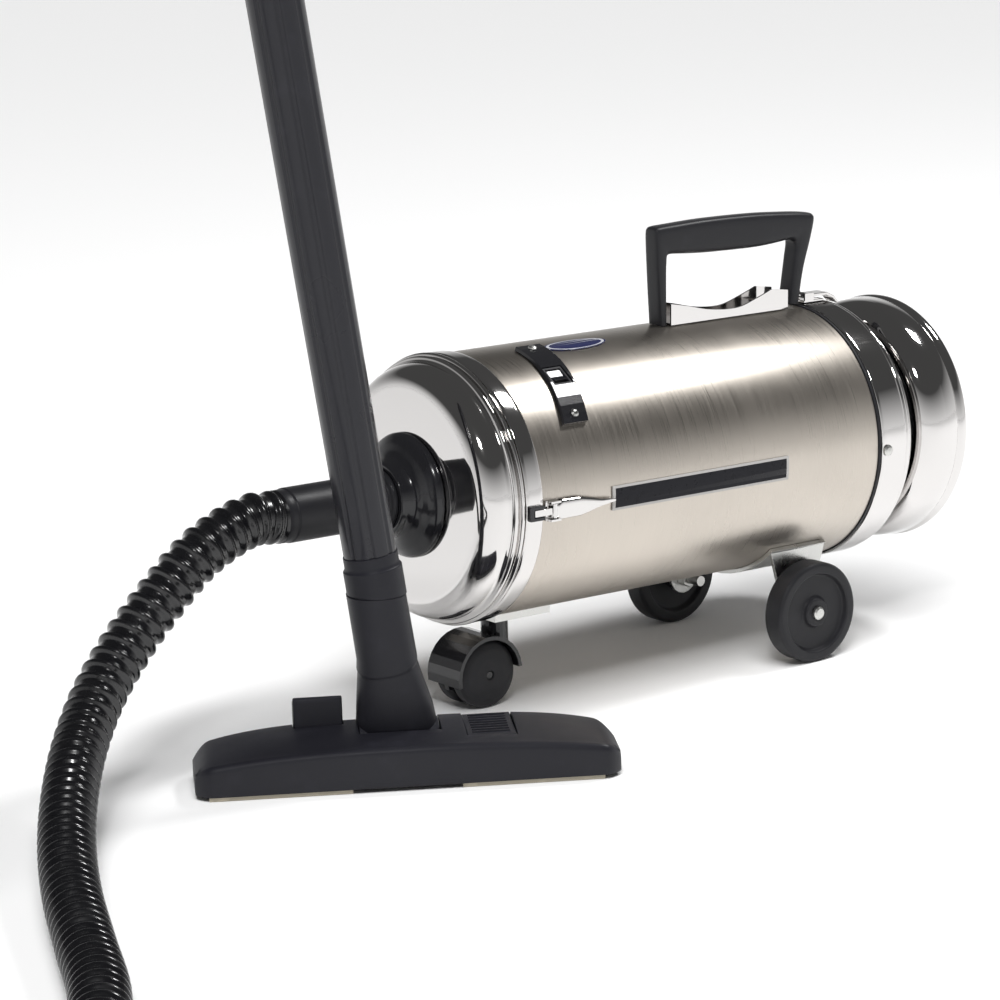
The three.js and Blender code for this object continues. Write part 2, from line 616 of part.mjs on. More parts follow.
// The neck flares at its foot, then runs up as a straight sleeve along the wand's own line
function neck() {
  const top = NECK_TOP;
  const ring = (z, rx, ry, x, y) =>
    Array.from({ length: 20 }, (_, i) => {
      const a = (i / 20) * 2 * Math.PI;
      return [x + rx * Math.cos(a), y + ry * Math.sin(a), z];
    });
  const outside = loft([
    ring(PIVOT.z, 24, 14.4, 0, PIVOT.y), ring(38, 27.6, 17.6, -0.6, 7.6), ring(50, 26, 17.8, -2.2, 6.4),
    ring(84, 20.9, 20.2, -6.6, 1), ring(96, 20.6, 20.3, -8.2, 0), ring(top.z, 20.4, 20.4, top.x, top.y),
  ]);
  const inside = loft([
    ring(PIVOT.z, 13.4, 13.4, 0, PIVOT.y), ring(84, 14.6, 14.6, -6.6, 1),
    ring(top.z + 4, 15.5, 15.5, top.x, top.y),
  ]);
  const barrel = rod('x', -27.6, 27.6, 16.8, [0, PIVOT.y, PIVOT.z], 32);
  const bore = rod('x', -30, 30, 14, [0, PIVOT.y, PIVOT.z], 28);
  return toGeometry(toSolid(outside).add(toSolid(barrel)).subtract(toSolid(inside)).subtract(toSolid(bore)));
}

function floorTool() {
  const strip = (x, y) => block([x, y, 0], [x + 98, y + 6, 3]);
  const pedal = (low, high, top) => cut(block(low, high), block(low.map((v, i) => v + [2, 2, -1][i]), top));
  const left = pedal([-72, 10, 20], [-38, 25, 56], [-40, 23, 53]);
  const right = pedal([45, -24, 14], [79, 25, 33], [77, 23, 30]);
  return [
    piece('nozzle', 'matte', nozzle()),
    piece('neck', 'matte', neck()),
    piece('sole_front_left', 'pale', strip(-137 + TOOL_SHIFT, TOOL_FRONT + 2)),
    piece('sole_front_right', 'pale', strip(39 - TOOL_SHIFT + 4, TOOL_FRONT + 2)),
    piece('pedal_left', 'gloss', left),
    piece('pedal_right', 'gloss', right),
    piece('brush_strip', 'matte', block([-124, TOOL_FRONT + 9, 6], [130, TOOL_FRONT + 14, 14])),
  ];
}

// ---- wand and hose, where they stand ----

// The wand's top end: straight, then bent over in a circle, then the cuff that takes the hose
function bentEnd() {
  const along = WAND_DIRECTION;
  const across = BEND_HEADING.clone().addScaledVector(along, -BEND_HEADING.dot(along)).normalize();
  const at = (s, a, b) => WAND_START.clone().addScaledVector(along, s + a).addScaledVector(across, b);
  const foot = WAND_SPAN[1] + GAP;
  const lead = 38;
  const bend = (angle) => at(foot + lead, BEND_R * Math.sin(angle), BEND_R * (1 - Math.cos(angle)));
  const out = along.clone().multiplyScalar(Math.cos(BEND_ANGLE));
  out.addScaledVector(across, Math.sin(BEND_ANGLE));
  const arc = Array.from({ length: 12 }, (_, i) => bend((BEND_ANGLE * i) / 11));
  const tip = arc[arc.length - 1].clone();
  const path = [at(foot, 0, 0), at(foot + lead / 2, 0, 0), ...arc, tip.clone().addScaledVector(out, 18)];
  return { path, tip: tip.addScaledVector(out, 18), out };
}

const annulus = (outer, inner, sides) => {
  const circle = (r) => Array.from({ length: sides }, (_, i) => {
    const a = (i / sides) * 2 * Math.PI;
    return new THREE.Vector2(r * Math.cos(a), r * Math.sin(a));
  });
  const shape = new THREE.Shape(circle(outer));
  shape.holes.push(new THREE.Path(circle(inner)));
  return shape;
};

const swept = (shape, points, steps) => {
  const path = new THREE.CatmullRomCurve3(points, false, 'catmullrom', 0.5);
  return new THREE.ExtrudeGeometry(shape, { steps, extrudePath: path, bevelEnabled: false });
};

// Moves a piece built on the X axis so that the axis runs from a point along a direction
const along = (geometry, from, direction) => {
  const turn = new THREE.Quaternion().setFromUnitVectors(new THREE.Vector3(1, 0, 0), direction);
  return geometry.applyQuaternion(turn).translate(from.x, from.y, from.z);
};

function wand() {
  const [low, high] = WAND_SPAN;
  const [thin, thick] = WAND_R;
  const tube = turned([[low, WAND_BORE], [high, WAND_BORE], [high, thick], [low, thin]], 32);
  const sleeve = turned([
    [86, 15.8], [low - GAP, 15.8], [low - GAP, 18.9], [low - 8, 18.9], [low - 9.4, 20.4], [86, 20.4],
  ], 24);
  const floor = TOOL.clone().setZ(NECK_TOP.z + GAP);
  const below = block([floor.x - 60, floor.y - 60, 90], [floor.x + 60, floor.y + 60, floor.z]);
  const end = bentEnd();
  const cuffRing = turned([[GAP, 16], [62, 16], [62, 20.4], [56, 21.4], [8, 20.6], [GAP, 19.6]], 28);
  return [
    piece('wand_tube', 'matte', along(tube, WAND_START, WAND_DIRECTION)),
    piece('wand_collar', 'matte', cut(along(sleeve, WAND_START, WAND_DIRECTION), below)),
    piece('bent_tube', 'matte', swept(annulus(18.8, WAND_BORE, 14), end.path, 14)),
    piece('hose_cuff', 'gloss', along(cuffRing, end.tip, end.out)),
  ];
}

function hose() {
  const end = bentEnd();
  const last = end.tip.clone().addScaledVector(end.out, 62 + GAP);
  const before = last.clone().addScaledVector(end.out, 34);
  const points = [...HOSE_POINTS.map((p) => new THREE.Vector3(...p)), before, last];
  return piece('hose', 'matte', swept(annulus(HOSE_R, HOSE_BORE, HOSE_SIDES), points, HOSE_STEPS));
}

function inletCuff() {
  const profile = [
    [CUFF_END_X, 16], [-44, 16], [-44, 21], [INLET_MOUTH_X - GAP, 21], [INLET_MOUTH_X - GAP, 22.6],
    [INLET_MOUTH_X - 4, 22.6], [INLET_MOUTH_X - 5, 20], [-120, CUFF_R], [-140, CUFF_R], [CUFF_END_X, 18.6],
  ];
  return piece('inlet_cuff', 'matte', turned(profile, 24));
}

const machine = new THREE.Group();
machine.add(...drum(), ...frontCap(), ...filterAndMotor(), ...rearEnd(), ...handle());
machine.add(...switchParts(), ...plates(), ...frontLatch(), ...rearLatch(), ...chassis(), inletCuff());
machine.rotation.y = NOSE_UP;
machine.position.copy(DRUM_ORIGIN);

const tool = new THREE.Group();
tool.add(...floorTool());
tool.rotation.z = TOOL_TURN;
tool.position.set(TOOL.x, TOOL.y, 0);

const group = new THREE.Group();
group.add(machine, tool, ...rearWheels(), ...caster(), ...wand(), hose());
group.position.sub(STAND);

export default group;
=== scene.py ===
"""Canister vacuum and blower: the finished surfaces, their materials and the stage, round the CAD frame."""

import bmesh
import bpy
import numpy as np
from bpy.props import FloatProperty, FloatVectorProperty, IntProperty, PointerProperty
from mathutils import Matrix, Vector


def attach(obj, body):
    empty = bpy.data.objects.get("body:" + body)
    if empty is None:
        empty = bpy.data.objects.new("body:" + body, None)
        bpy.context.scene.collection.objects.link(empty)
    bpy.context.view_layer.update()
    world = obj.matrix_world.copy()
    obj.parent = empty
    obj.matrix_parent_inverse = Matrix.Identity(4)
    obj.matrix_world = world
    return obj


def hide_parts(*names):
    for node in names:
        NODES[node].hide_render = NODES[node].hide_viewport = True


bl_info = {
    "name": "Canister Vacuum and Blower",
    "version": (1, 0, 0),
    "blender": (4, 5, 0),
    "location": "3D View > Sidebar > Canister",
    "description": "Builds a wheeled canister vacuum with its hose, wand and floor tool",
    "category": "Object",
}

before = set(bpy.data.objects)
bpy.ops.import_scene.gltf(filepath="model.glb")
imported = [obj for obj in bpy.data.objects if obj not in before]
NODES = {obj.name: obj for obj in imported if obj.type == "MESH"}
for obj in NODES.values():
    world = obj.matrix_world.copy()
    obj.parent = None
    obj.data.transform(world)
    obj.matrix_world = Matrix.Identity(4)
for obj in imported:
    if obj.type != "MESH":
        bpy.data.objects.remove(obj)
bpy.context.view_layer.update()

# Millimetres in the machine's own frame. STAND is where the row frame's origin lies in it.
STAND = np.array([14.2, -55.42, 0.0])
CAMERA = np.array([-1742.61, -2315.08, 836.51])
NOSE_UP = np.radians(1.564)
DRUM_ORIGIN = np.array([3.4, 0.0, 165.0])
TOOL = np.array([-122.8, -103.9, 0.0])
TOOL_TURN = np.arctan2(-0.528, 0.849)
AXLE = np.array([279.4, 0.0, 38.0])
REAR_WHEEL_Y = 80.75
CASTER_HUB = np.array([23.6, 0.0, 25.0])
SIDEWAYS = np.array([0.0, 1.0, 0.0])


def unit(direction):
    """A direction made one long."""
    return np.array(direction) / np.linalg.norm(direction)


# The wand: its line starts in the neck, and it is a tube over a part of that line
WAND_START = np.array([-122.8, -103.9, 37.8])
WAND_DIRECTION = unit([-0.1094, 0.068, 0.9917])
WAND_SPAN = (122.0, 579.0)
WAND_BORE = 15.6

# The bent end: a short gap above the wand, a straight lead, an arc and a straight tail into the hose's cuff
BEND_HEADING = unit([-0.995, -0.1, 0.0])
BEND_GAP = 0.3
BEND_LEAD = 38.0
BEND_RADIUS = 85.0
BEND_ANGLE = np.radians(130)
BEND_TAIL = 18.0
CUFF_MOUTH = 62.3

# The floor tool, in its own frame: X along it, Y to the back. The holes are a little wider than the keys.
TOOL_MIDDLE = 3.5
NOTCH = 28.5
LEFT_KEY = (-72.0, -38.0)
LEFT_HOLE = (-72.6, -37.4)
RIGHT_KEY = (45.0, 79.0)
RIGHT_HOLE = (44.4, 79.6)
RIGHT_KEY_TOP = ((-24.0, 31.8), (25.0, 33.6))
NECK_TOP = 130.0

# Facets round the smaller pieces
HOSE_SIDES = 32
HANDLE_SIDES = 40
TUBE_SIDES = 64
RING_SIDES = 96
WAND_SIDES = 180

# The hose's centre line, from the inlet cuff over the floor and up to the bent end
HOSE_POINTS = [
    [-146.9, 0, 169.1], [-171.9, 0, 169.8], [-213, -4, 156], [-250, -8, 131], [-286, -16, 104],
    [-320, -32, 79], [-355, -62, 57], [-392, -107, 41], [-430, -163, 30], [-469, -230, 23.5],
    [-508, -306, 20], [-549, -385, 19.6], [-599, -455, 19.6], [-668, -496, 20], [-742, -493, 24],
    [-800, -450, 36], [-831, -385, 58], [-832, -311, 92], [-806, -250, 140], [-762, -204, 195],
    [-713, -174, 257], [-661, -149, 324], [-610, -130, 393], [-561, -116, 457], [-512, -105, 514],
    [-463, -96, 567],
]


# ---- sizes and colours that a user may change ----

class HoseSettings(bpy.types.PropertyGroup):
    diameter: FloatProperty(name="Diameter", description="Across the hose's ridges, in metres",
                            default=0.038, unit="LENGTH")
    pitch: FloatProperty(name="Ridge pitch", description="From one ridge to the next, in metres",
                         default=0.012, unit="LENGTH")
    depth: FloatProperty(name="Groove depth", description="From a ridge's top to the groove, in metres",
                         default=0.003, unit="LENGTH")


class DrumSettings(bpy.types.PropertyGroup):
    facets: IntProperty(name="Facets", description="Facets round the large pressings", default=224, min=24)
    steel: FloatVectorProperty(name="Steel", description="Colour of the brushed drum", subtype="COLOR",
                               size=3, default=(0.56, 0.515, 0.46))
    chrome: FloatVectorProperty(name="Chrome", description="Colour of the plated pressings",
                                subtype="COLOR", size=3, default=(0.70, 0.685, 0.675))
    plastic: FloatVectorProperty(name="Plastic", description="Colour of the black mouldings",
                                 subtype="COLOR", size=3, default=(0.012, 0.012, 0.014))


class ToolSettings(bpy.types.PropertyGroup):
    length: FloatProperty(name="Length", description="Length of the floor tool, in metres",
                          default=0.292, unit="LENGTH")
    plastic: FloatVectorProperty(name="Plastic", description="Colour of the wand and floor tool",
                                 subtype="COLOR", size=3, default=(0.012, 0.012, 0.016))


class StageSettings(bpy.types.PropertyGroup):
    lens: FloatProperty(name="Lens", description="Focal length of the camera, in millimetres",
                        default=149.14)
    floor: FloatVectorProperty(name="Floor", description="Colour of the floor", subtype="COLOR", size=3,
                               default=(0.9, 0.9, 0.9))


# ---- surfaces ----

def row_place(points):
    """Millimetres in the machine's frame to metres in the row frame."""
    return (points - STAND) * 1e-3


def drum_place(points):
    """Drum frame to row frame: turned nose-up about Y, then moved to the drum's origin."""
    c, s = np.cos(NOSE_UP), np.sin(NOSE_UP)
    turn = np.array([[c, 0, s], [0, 1, 0], [-s, 0, c]])
    return row_place(points @ turn.T + DRUM_ORIGIN)


def tool_place(points):
    """Floor tool frame to row frame: turned about Z, then moved to the neck's foot."""
    c, s = np.cos(TOOL_TURN), np.sin(TOOL_TURN)
    turn = np.array([[c, -s, 0], [s, c, 0], [0, 0, 1]])
    return row_place(points @ turn.T + TOOL)


def grid_faces(rows, cols, close_rows=False, close_cols=True):
    """Quads of a rows by cols grid of points; either direction may join its end to its start."""
    i = np.arange(rows if close_rows else rows - 1)
    j = np.arange(cols if close_cols else cols - 1)
    a, b = np.meshgrid(i, j, indexing="ij")
    a2, b2 = (a + 1) % rows, (b + 1) % cols
    return np.stack([a * cols + b, a2 * cols + b, a2 * cols + b2, a * cols + b2], -1).reshape(-1, 4)


def closed_rows(rows):
    """The same rings with one more at each end, drawn together to the end ring's middle."""
    first, last = (np.broadcast_to(ring.mean(0), ring.shape) for ring in (rows[0], rows[-1]))
    return np.concatenate([first[None], rows, last[None]])


def new_object(name, data):
    """An object with that data, in the scene's collection."""
    obj = bpy.data.objects.new(name, data)
    bpy.context.collection.objects.link(obj)
    return obj


def bevel_edges(obj, width, angle):
    """Rounds every edge sharper than the angle, to a width in metres."""
    edges = obj.modifiers.new("edges", "BEVEL")
    edges.width = width
    edges.segments = 2
    edges.limit_method = "ANGLE"
    edges.angle_limit = np.radians(angle)


def make_piece(name, verts, faces, finish, body, *nodes, slot, smooth=40, bevel=0.0):
    """Points and faces to one object: doubles merged, faces turned outwards, smooth below an angle. It rides
    on the body and stands for the nodes."""
    mesh = bpy.data.meshes.new(name)
    mesh.from_pydata(verts.tolist(), [], [list(face) for face in faces])
    work = bmesh.new()
    work.from_mesh(mesh)
    bmesh.ops.remove_doubles(work, verts=work.verts, dist=2e-6)
    bmesh.ops.dissolve_degenerate(work, edges=work.edges, dist=1e-7)
    bmesh.ops.recalc_face_normals(work, faces=work.faces)
    work.to_mesh(mesh)
    work.free()
    mesh.shade_smooth()
    mesh.set_sharp_from_angle(angle=np.radians(smooth))
    mesh.materials.append(finish)
    obj = new_object(name, mesh)
    if bevel:
        bevel_edges(obj, bevel, smooth)
    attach(obj, body)
    if nodes:
        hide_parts(*nodes)
    return obj


def spline(points, per):
    """Uniform Catmull-Rom curve through points, its ends carried straight on; per samples to each span."""
    p = np.asarray(points, float)
    p = np.vstack([2 * p[0] - p[1], p, 2 * p[-1] - p[-2]])
    t = np.linspace(0, 1, per, endpoint=False)[None, :, None]
    a, b, c, d = (p[k:len(p) - 3 + k, None, :] for k in range(4))
    square, cube = 2 * a - 5 * b + 4 * c - d, 3 * b - a - 3 * c + d
    q = 0.5 * (2 * b + (c - a) * t + square * t ** 2 + cube * t ** 3)
    return np.vstack([q.reshape(-1, p.shape[1]), p[-2]])


def evenly(points, step):
    """The same line with points an even distance apart, and the length at each of them."""
    lengths = np.r_[0, np.cumsum(np.linalg.norm(np.diff(points, axis=0), axis=1))]
    at = np.linspace(0, lengths[-1], int(round(lengths[-1] / step)) + 1)
    return np.stack([np.interp(at, lengths, axis) for axis in points.T], -1), at


def frames(line):
    """Two directions square to a line at each point, carried along it without twist."""
    tangent = np.gradient(line, axis=0)
    tangent /= np.linalg.norm(tangent, axis=1, keepdims=True)
    side = np.cross(tangent[0], [0.0, 0.3, 1.0])
    sides = []
    for t in tangent:
        side = side - t * (side @ t)
        side = side / np.linalg.norm(side)
        sides.append(side)
    sides = np.array(sides)
    return sides, np.cross(tangent, sides)


def tube(line, radius, turns):
    """A ring of points round each point of the line: centre + radius (cos a side + sin a up). The radius is
    one number, or one for each point, or one for each point and turn."""
    side, up = frames(line)
    a = np.linspace(0, 2 * np.pi, turns, endpoint=False)
    ring = np.cos(a)[None, :, None] * side[:, None] + np.sin(a)[None, :, None] * up[:, None]
    if np.ndim(radius) == 1:
        radius = radius[:, None]
    radius = np.broadcast_to(radius, (len(line), turns))
    return line[:, None] + radius[..., None] * ring


def axis_rings(start, axis, profile):
    """A profile of (station, radius) points turned round any axis: start + station axis
    + radius (cos a side + sin a up)."""
    side = unit(np.cross(axis, SIDEWAYS))
    up = np.cross(axis, side)
    a = np.linspace(0, 2 * np.pi, RING_SIDES, endpoint=False)
    circle = np.cos(a)[:, None] * side + np.sin(a)[:, None] * up
    centres = start + np.outer(profile[:, 0], axis)
    return centres[:, None] + profile[:, 1][:, None, None] * circle[None]


def stacked(heights, middle_x, middle_y, across, deep):
    """Level rings one above another: each is its middle + (across, deep), at its height."""
    x = middle_x[:, None] + across
    y = middle_y[:, None] + deep
    return np.stack([x, y, np.broadcast_to(heights[:, None], x.shape)], -1)


def squared(c, power):
    """A cosine or sine pushed outwards, so that a circle becomes a rounded square: sign(c) |c|^power."""
    return np.sign(c) * np.abs(c) ** power


def turned(profile, facets, centre=(0, 0, 0), axis="x", flip=1):
    """A closed profile of (station, radius) points turned round X, Y or Z: (station, r cos a, r sin a) in
    that axis's order, with the stations mirrored where flip is -1."""
    p = np.asarray(profile, float)
    a = np.linspace(0, 2 * np.pi, facets, endpoint=False)
    station = np.broadcast_to(p[:, :1] * flip, (len(p), facets))
    u, w = p[:, 1:] * np.cos(a), p[:, 1:] * np.sin(a)
    order = {"x": (station, u, w), "y": (u, station, w), "z": (u, w, station)}[axis]
    verts = np.stack(order, -1).reshape(-1, 3) + np.asarray(centre, float)
    return verts, grid_faces(len(p), facets, close_rows=True)


def eased(profile, radius, steps=4):
    """A closed profile with each corner rounded by a quadratic Bezier curve, (1-t)^2 a + 2 t (1-t) p + t^2 b.
    A corner on the axis stays where it is."""
    p = np.asarray(profile, float)
    before, after = np.roll(p, 1, 0) - p, np.roll(p, -1, 0) - p
    lb = np.linalg.norm(before, axis=1, keepdims=True)
    la = np.linalg.norm(after, axis=1, keepdims=True)
    cut = np.minimum(radius, 0.45 * np.minimum(lb, la))
    a, b = p + before / lb * cut, p + after / la * cut
    t = np.linspace(0, 1, steps + 1)[None, :, None]
    q = (1 - t) ** 2 * a[:, None] + 2 * t * (1 - t) * p[:, None] + t ** 2 * b[:, None]
    on_axis = (p[:, 1] < 1e-6)[:, None, None]
    return np.where(on_axis, p[:, None], q).reshape(-1, 2)


def quarter(x0, r0, x1, r1, steps):
    """Quarter ellipse from (x0, r0), leaving square to the axis, to (x1, r1), arriving along it."""
    t = np.linspace(0, np.pi / 2, steps)
    return np.stack([x1 + (x0 - x1) * np.cos(t), r0 + (r1 - r0) * np.sin(t)], -1)


def bead(x, r, width, height, steps=10):
    """Half round bead that stands height above radius r, between x and x + width."""
    t = np.linspace(0, np.pi, steps)
    return np.stack([x + width * (1 - np.cos(t)) / 2, r + height * np.sin(t)], -1)


# ---- materials ----

class Sock:
    """A shader socket that takes arithmetic; each operator adds one Math node."""

    def __init__(self, tree, out):
        self.tree, self.out = tree, out

    def _math(self, operation, *terms):
        node = self.tree.nodes.new("ShaderNodeMath")
        node.operation = operation
        for socket, term in zip(node.inputs, terms):
            if isinstance(term, Sock):
                self.tree.links.new(term.out, socket)
            else:
                socket.default_value = float(term)
        return Sock(self.tree, node.outputs[0])

    def __add__(self, other):
        return self._math("ADD", self, other)

    def __radd__(self, other):
        return self._math("ADD", other, self)

    def __sub__(self, other):
        return self._math("SUBTRACT", self, other)

    def __rsub__(self, other):
        return self._math("SUBTRACT", other, self)

    def __mul__(self, other):
        return self._math("MULTIPLY", self, other)

    def __rmul__(self, other):
        return self._math("MULTIPLY", other, self)

    def __truediv__(self, other):
        return self._math("DIVIDE", self, other)

    def __rtruediv__(self, other):
        return self._math("DIVIDE", other, self)

    def __abs__(self):
        return self._math("ABSOLUTE", self)

    def __gt__(self, other):
        return self._math("GREATER_THAN", self, other)

    def __or__(self, other):
        return self._math("MAXIMUM", self, other)


class Nodes:
    """A node tree, to which nodes are added by type, settings and sockets."""

    def __init__(self, tree):
        self.tree = tree

    def node(self, kind, settings=None, **inputs):
        """Any node: its settings first, then the values or links of its sockets, by name or as _NUMBER.
        Returns its outputs by name."""
        node = self.tree.nodes.new(kind)
        for key, value in (settings or {}).items():
            setattr(node, key, value)
        for key, value in inputs.items():
            which = int(key[1:]) if key[1:].isdigit() else key.replace("_", " ")
            if isinstance(value, Sock):
                self.tree.links.new(value.out, node.inputs[which])
            else:
                node.inputs[which].default_value = value
        return {output.name: Sock(self.tree, output) for output in node.outputs if output.enabled}

    def ramp(self, value, low, high, to_low=0.0, to_high=1.0):
        """A value carried from one range to another, held at its ends."""
        return self.node("ShaderNodeMapRange", {"clamp": True}, Value=value, From_Min=low, From_Max=high,
                         To_Min=to_low, To_Max=to_high)["Result"]


class Finish(Nodes):
    """One material: a Principled shader and the nodes that vary it."""

    def __init__(self, name, color, rough, metal=0.0, **fixed):
        self.mat = bpy.data.materials.new(name)
        self.mat.use_nodes = True
        super().__init__(self.mat.node_tree)
        self.bsdf = self.tree.nodes["Principled BSDF"]
        self.bsdf.inputs["Base Color"].default_value = (*color, 1)
        self.bsdf.inputs["Roughness"].default_value = rough
        self.bsdf.inputs["Metallic"].default_value = metal
        for key, value in fixed.items():
            self.bsdf.inputs[key.replace("_", " ")].default_value = value

    def place(self, scale=(1, 1, 1), turn=(0, 0, 0)):
        """Object coordinates, turned and stretched."""
        where = self.node("ShaderNodeTexCoord")["Object"]
        return self.node("ShaderNodeMapping", Vector=where, Scale=scale, Rotation=turn)["Vector"]

    def drum_axes(self):
        """X, Y and Z in the drum's own frame, in millimetres: the move and turn of drum_place undone."""
        axes = self.node("ShaderNodeSeparateXYZ", Vector=self.node("ShaderNodeTexCoord")["Object"])
        shift = STAND - DRUM_ORIGIN
        x, y, z = (axes[name] * 1000.0 + shift[k] for k, name in enumerate("XYZ"))
        c, s = np.cos(NOSE_UP), np.sin(NOSE_UP)
        return x * c - z * s, y, x * s + z * c

    def noise(self, size, detail=4.0, **place):
        """Noise from 0 to 1 on the placed coordinates."""
        return self.node("ShaderNodeTexNoise", Vector=self.place(**place), Scale=size, Detail=detail)["Fac"]

    def mix(self, mask, a, b):
        """Colour a where mask is 0 and b where it is 1."""
        a, b = ((*color, 1) if isinstance(color, tuple) else color for color in (a, b))
        return self.node("ShaderNodeMix", {"data_type": "RGBA"}, _0=mask, _6=a, _7=b)["Result"]

    def feed(self, name, value):
        """Links a value to one of the Principled shader's sockets."""
        self.tree.links.new(value.out, self.bsdf.inputs[name])

    def bump(self, height, distance, strength):
        """Height in 0 to 1 to a bump of that many metres."""
        normal = self.node("ShaderNodeBump", Height=height, Distance=distance, Strength=strength)["Normal"]
        self.feed("Normal", normal)


def shade(color, factor):
    """A colour made darker or lighter by a factor."""
    return tuple(min(1.0, channel * factor) for channel in color)


def brushed_steel(color):
    """Warm steel with hair-fine grain round the drum and faint handling marks."""
    f = Finish("brushed_steel", color, 0.3, 1.0)
    grain = f.noise(1.0, 6.0, scale=(2600, 24, 24), turn=(0, -NOSE_UP, 0))
    cloud = f.noise(9.0, 3.0)
    tone = f.ramp(grain * 0.4 + cloud * 0.6, 0.35, 0.65)
    f.feed("Base Color", f.mix(tone, shade(color, 0.93), shade(color, 1.05)))
    f.feed("Roughness", f.ramp(grain, 0.3, 0.7, 0.25, 0.37) + f.ramp(cloud, 0.4, 0.7, 0.0, 0.05))
    f.bump(grain, 0.000006, 0.3)
    return f.mat


def chrome(color):
    """Bright plate with a very faint haze and fine wipe marks."""
    rough = 0.05
    f = Finish("chrome_plate", color, rough, 1.0)
    haze = f.noise(14.0, 5.0)
    wipe = f.noise(1.0, 4.0, scale=(60, 60, 900))
    hazy = f.ramp(haze, 0.35, 0.75, rough * 0.7, rough * 1.9)
    f.feed("Roughness", hazy + f.ramp(wipe, 0.6, 0.8, 0.0, 0.03))
    f.feed("Base Color", f.mix(haze, shade(color, 0.97), color))
    return f.mat


def plated_zinc():
    """Bright zinc with a mottled bloom."""
    base = (0.62, 0.62, 0.6)
    f = Finish("bright_zinc", base, 0.28, 1.0)
    bloom = f.noise(70.0, 5.0)
    f.feed("Base Color", f.mix(bloom, shade(base, 0.75), shade(base, 1.15)))
    f.feed("Roughness", f.ramp(bloom, 0.3, 0.7, 0.2, 0.42))
    return f.mat


def moulding(name, color, rough, grain=0.0, grain_size=1400.0, coat=0.0):
    """Plastic moulding: fine cast grain, with slow changes in sheen and a little paler dust."""
    f = Finish(name, color, rough, Coat_Weight=coat, Coat_Roughness=0.08, Specular_IOR_Level=0.28)
    slow = f.noise(16.0, 4.0)
    dust = f.ramp(f.noise(45.0, 6.0), 0.58, 0.78)
    f.feed("Base Color", f.mix(dust * 0.35, color, shade(color, 2.2)))
    f.feed("Roughness", f.ramp(slow, 0.3, 0.7, rough * 0.86, rough * 1.16) + dust * 0.05)
    if grain:
        f.bump(f.noise(grain_size, 2.0), grain, 0.5)
    return f.mat


def hose_plastic():
    """Glossy black vinyl, duller and paler where dust lies on it."""
    base = (0.004, 0.004, 0.005)
    f = Finish("hose_vinyl", base, 0.16, Coat_Weight=0.4, Coat_Roughness=0.08)
    dust = f.ramp(f.noise(60.0, 6.0), 0.5, 0.8)
    f.feed("Base Color", f.mix(dust * 0.4, base, (0.012, 0.012, 0.013)))
    f.feed("Roughness", f.ramp(f.noise(130.0, 4.0), 0.3, 0.7, 0.16, 0.3) + dust * 0.12)
    f.bump(f.noise(700.0, 3.0), 0.00008, 0.5)
    return f.mat


def paper():
    """Fibrous filter paper."""
    base = (0.62, 0.56, 0.44)
    f = Finish("filter_paper", base, 0.85)
    fibre = f.noise(900.0, 5.0)
    f.feed("Base Color", f.mix(fibre, shade(base, 0.8), shade(base, 1.1)))
    f.bump(fibre, 0.0002, 0.6)
    return f.mat


def winding():
    """Varnished copper wire laid side by side, with painted shade darkening the grooves between the turns."""
    base = (0.42, 0.2, 0.1)
    f = Finish("copper_winding", base, 0.35, 1.0)
    turns_and_groove_shade = f.node("ShaderNodeTexWave", {"bands_direction": "X"}, Vector=f.place(), Scale=400.0,
                 Distortion=0.6)["Fac"]
    # Painted shade: the copper is drawn half as bright in the grooves between the wire turns.
    f.feed("Base Color", f.mix(turns_and_groove_shade, shade(base, 0.5), base))
    f.bump(turns_and_groove_shade, 0.0003, 0.8)
    return f.mat


def badge_enamel():
    """Plain deep blue enamel oval with a paler ring near its edge. The reach is u^2 + v^2, which is 1 at
    the rim: u along the drum and v along its skin, each as a part of the badge's half size."""
    middle_x, middle_y, middle_z = 104.0, -18.6, 95.4
    half_length, half_width = 28.0, 8.6
    f = Finish("badge_enamel", (0.012, 0.016, 0.06), 0.18, Coat_Weight=0.8, Coat_Roughness=0.05)
    x, y, z = f.drum_axes()
    u = (x - middle_x) / half_length
    v = ((y - middle_y) * 0.982 + (z - middle_z) * 0.191) / half_width
    reach = u * u + v * v
    ring = (reach > 0.72) - (reach > 0.88)
    speck = f.noise(220.0, 3.0)
    blue = f.mix(speck, (0.009, 0.012, 0.055), (0.016, 0.022, 0.1))
    f.feed("Base Color", f.mix(ring, blue, (0.55, 0.56, 0.6)))
    f.feed("Roughness", f.ramp(speck, 0.3, 0.7, 0.14, 0.26))
    return f.mat


def plate_lacquer():
    """Plain black lacquered plate with a thin pale line round its edge."""
    f = Finish("plate_lacquer", (0.006, 0.006, 0.009), 0.3, Specular_IOR_Level=0.16)
    middle_x, middle_z = 158.0, -2.0
    half_length, half_height = 84.0, 8.9
    x, _, z = f.drum_axes()
    edge = (abs(x - middle_x) / half_length > 0.972) | (abs(z - middle_z) / half_height > 0.8)
    scuff = f.noise(160.0, 4.0)
    black = f.mix(scuff, (0.004, 0.004, 0.006), (0.012, 0.012, 0.016))
    f.feed("Base Color", f.mix(edge, black, (0.42, 0.41, 0.4)))
    f.feed("Roughness", f.ramp(scuff, 0.3, 0.7, 0.24, 0.4))
    return f.mat


MATERIALS = {}


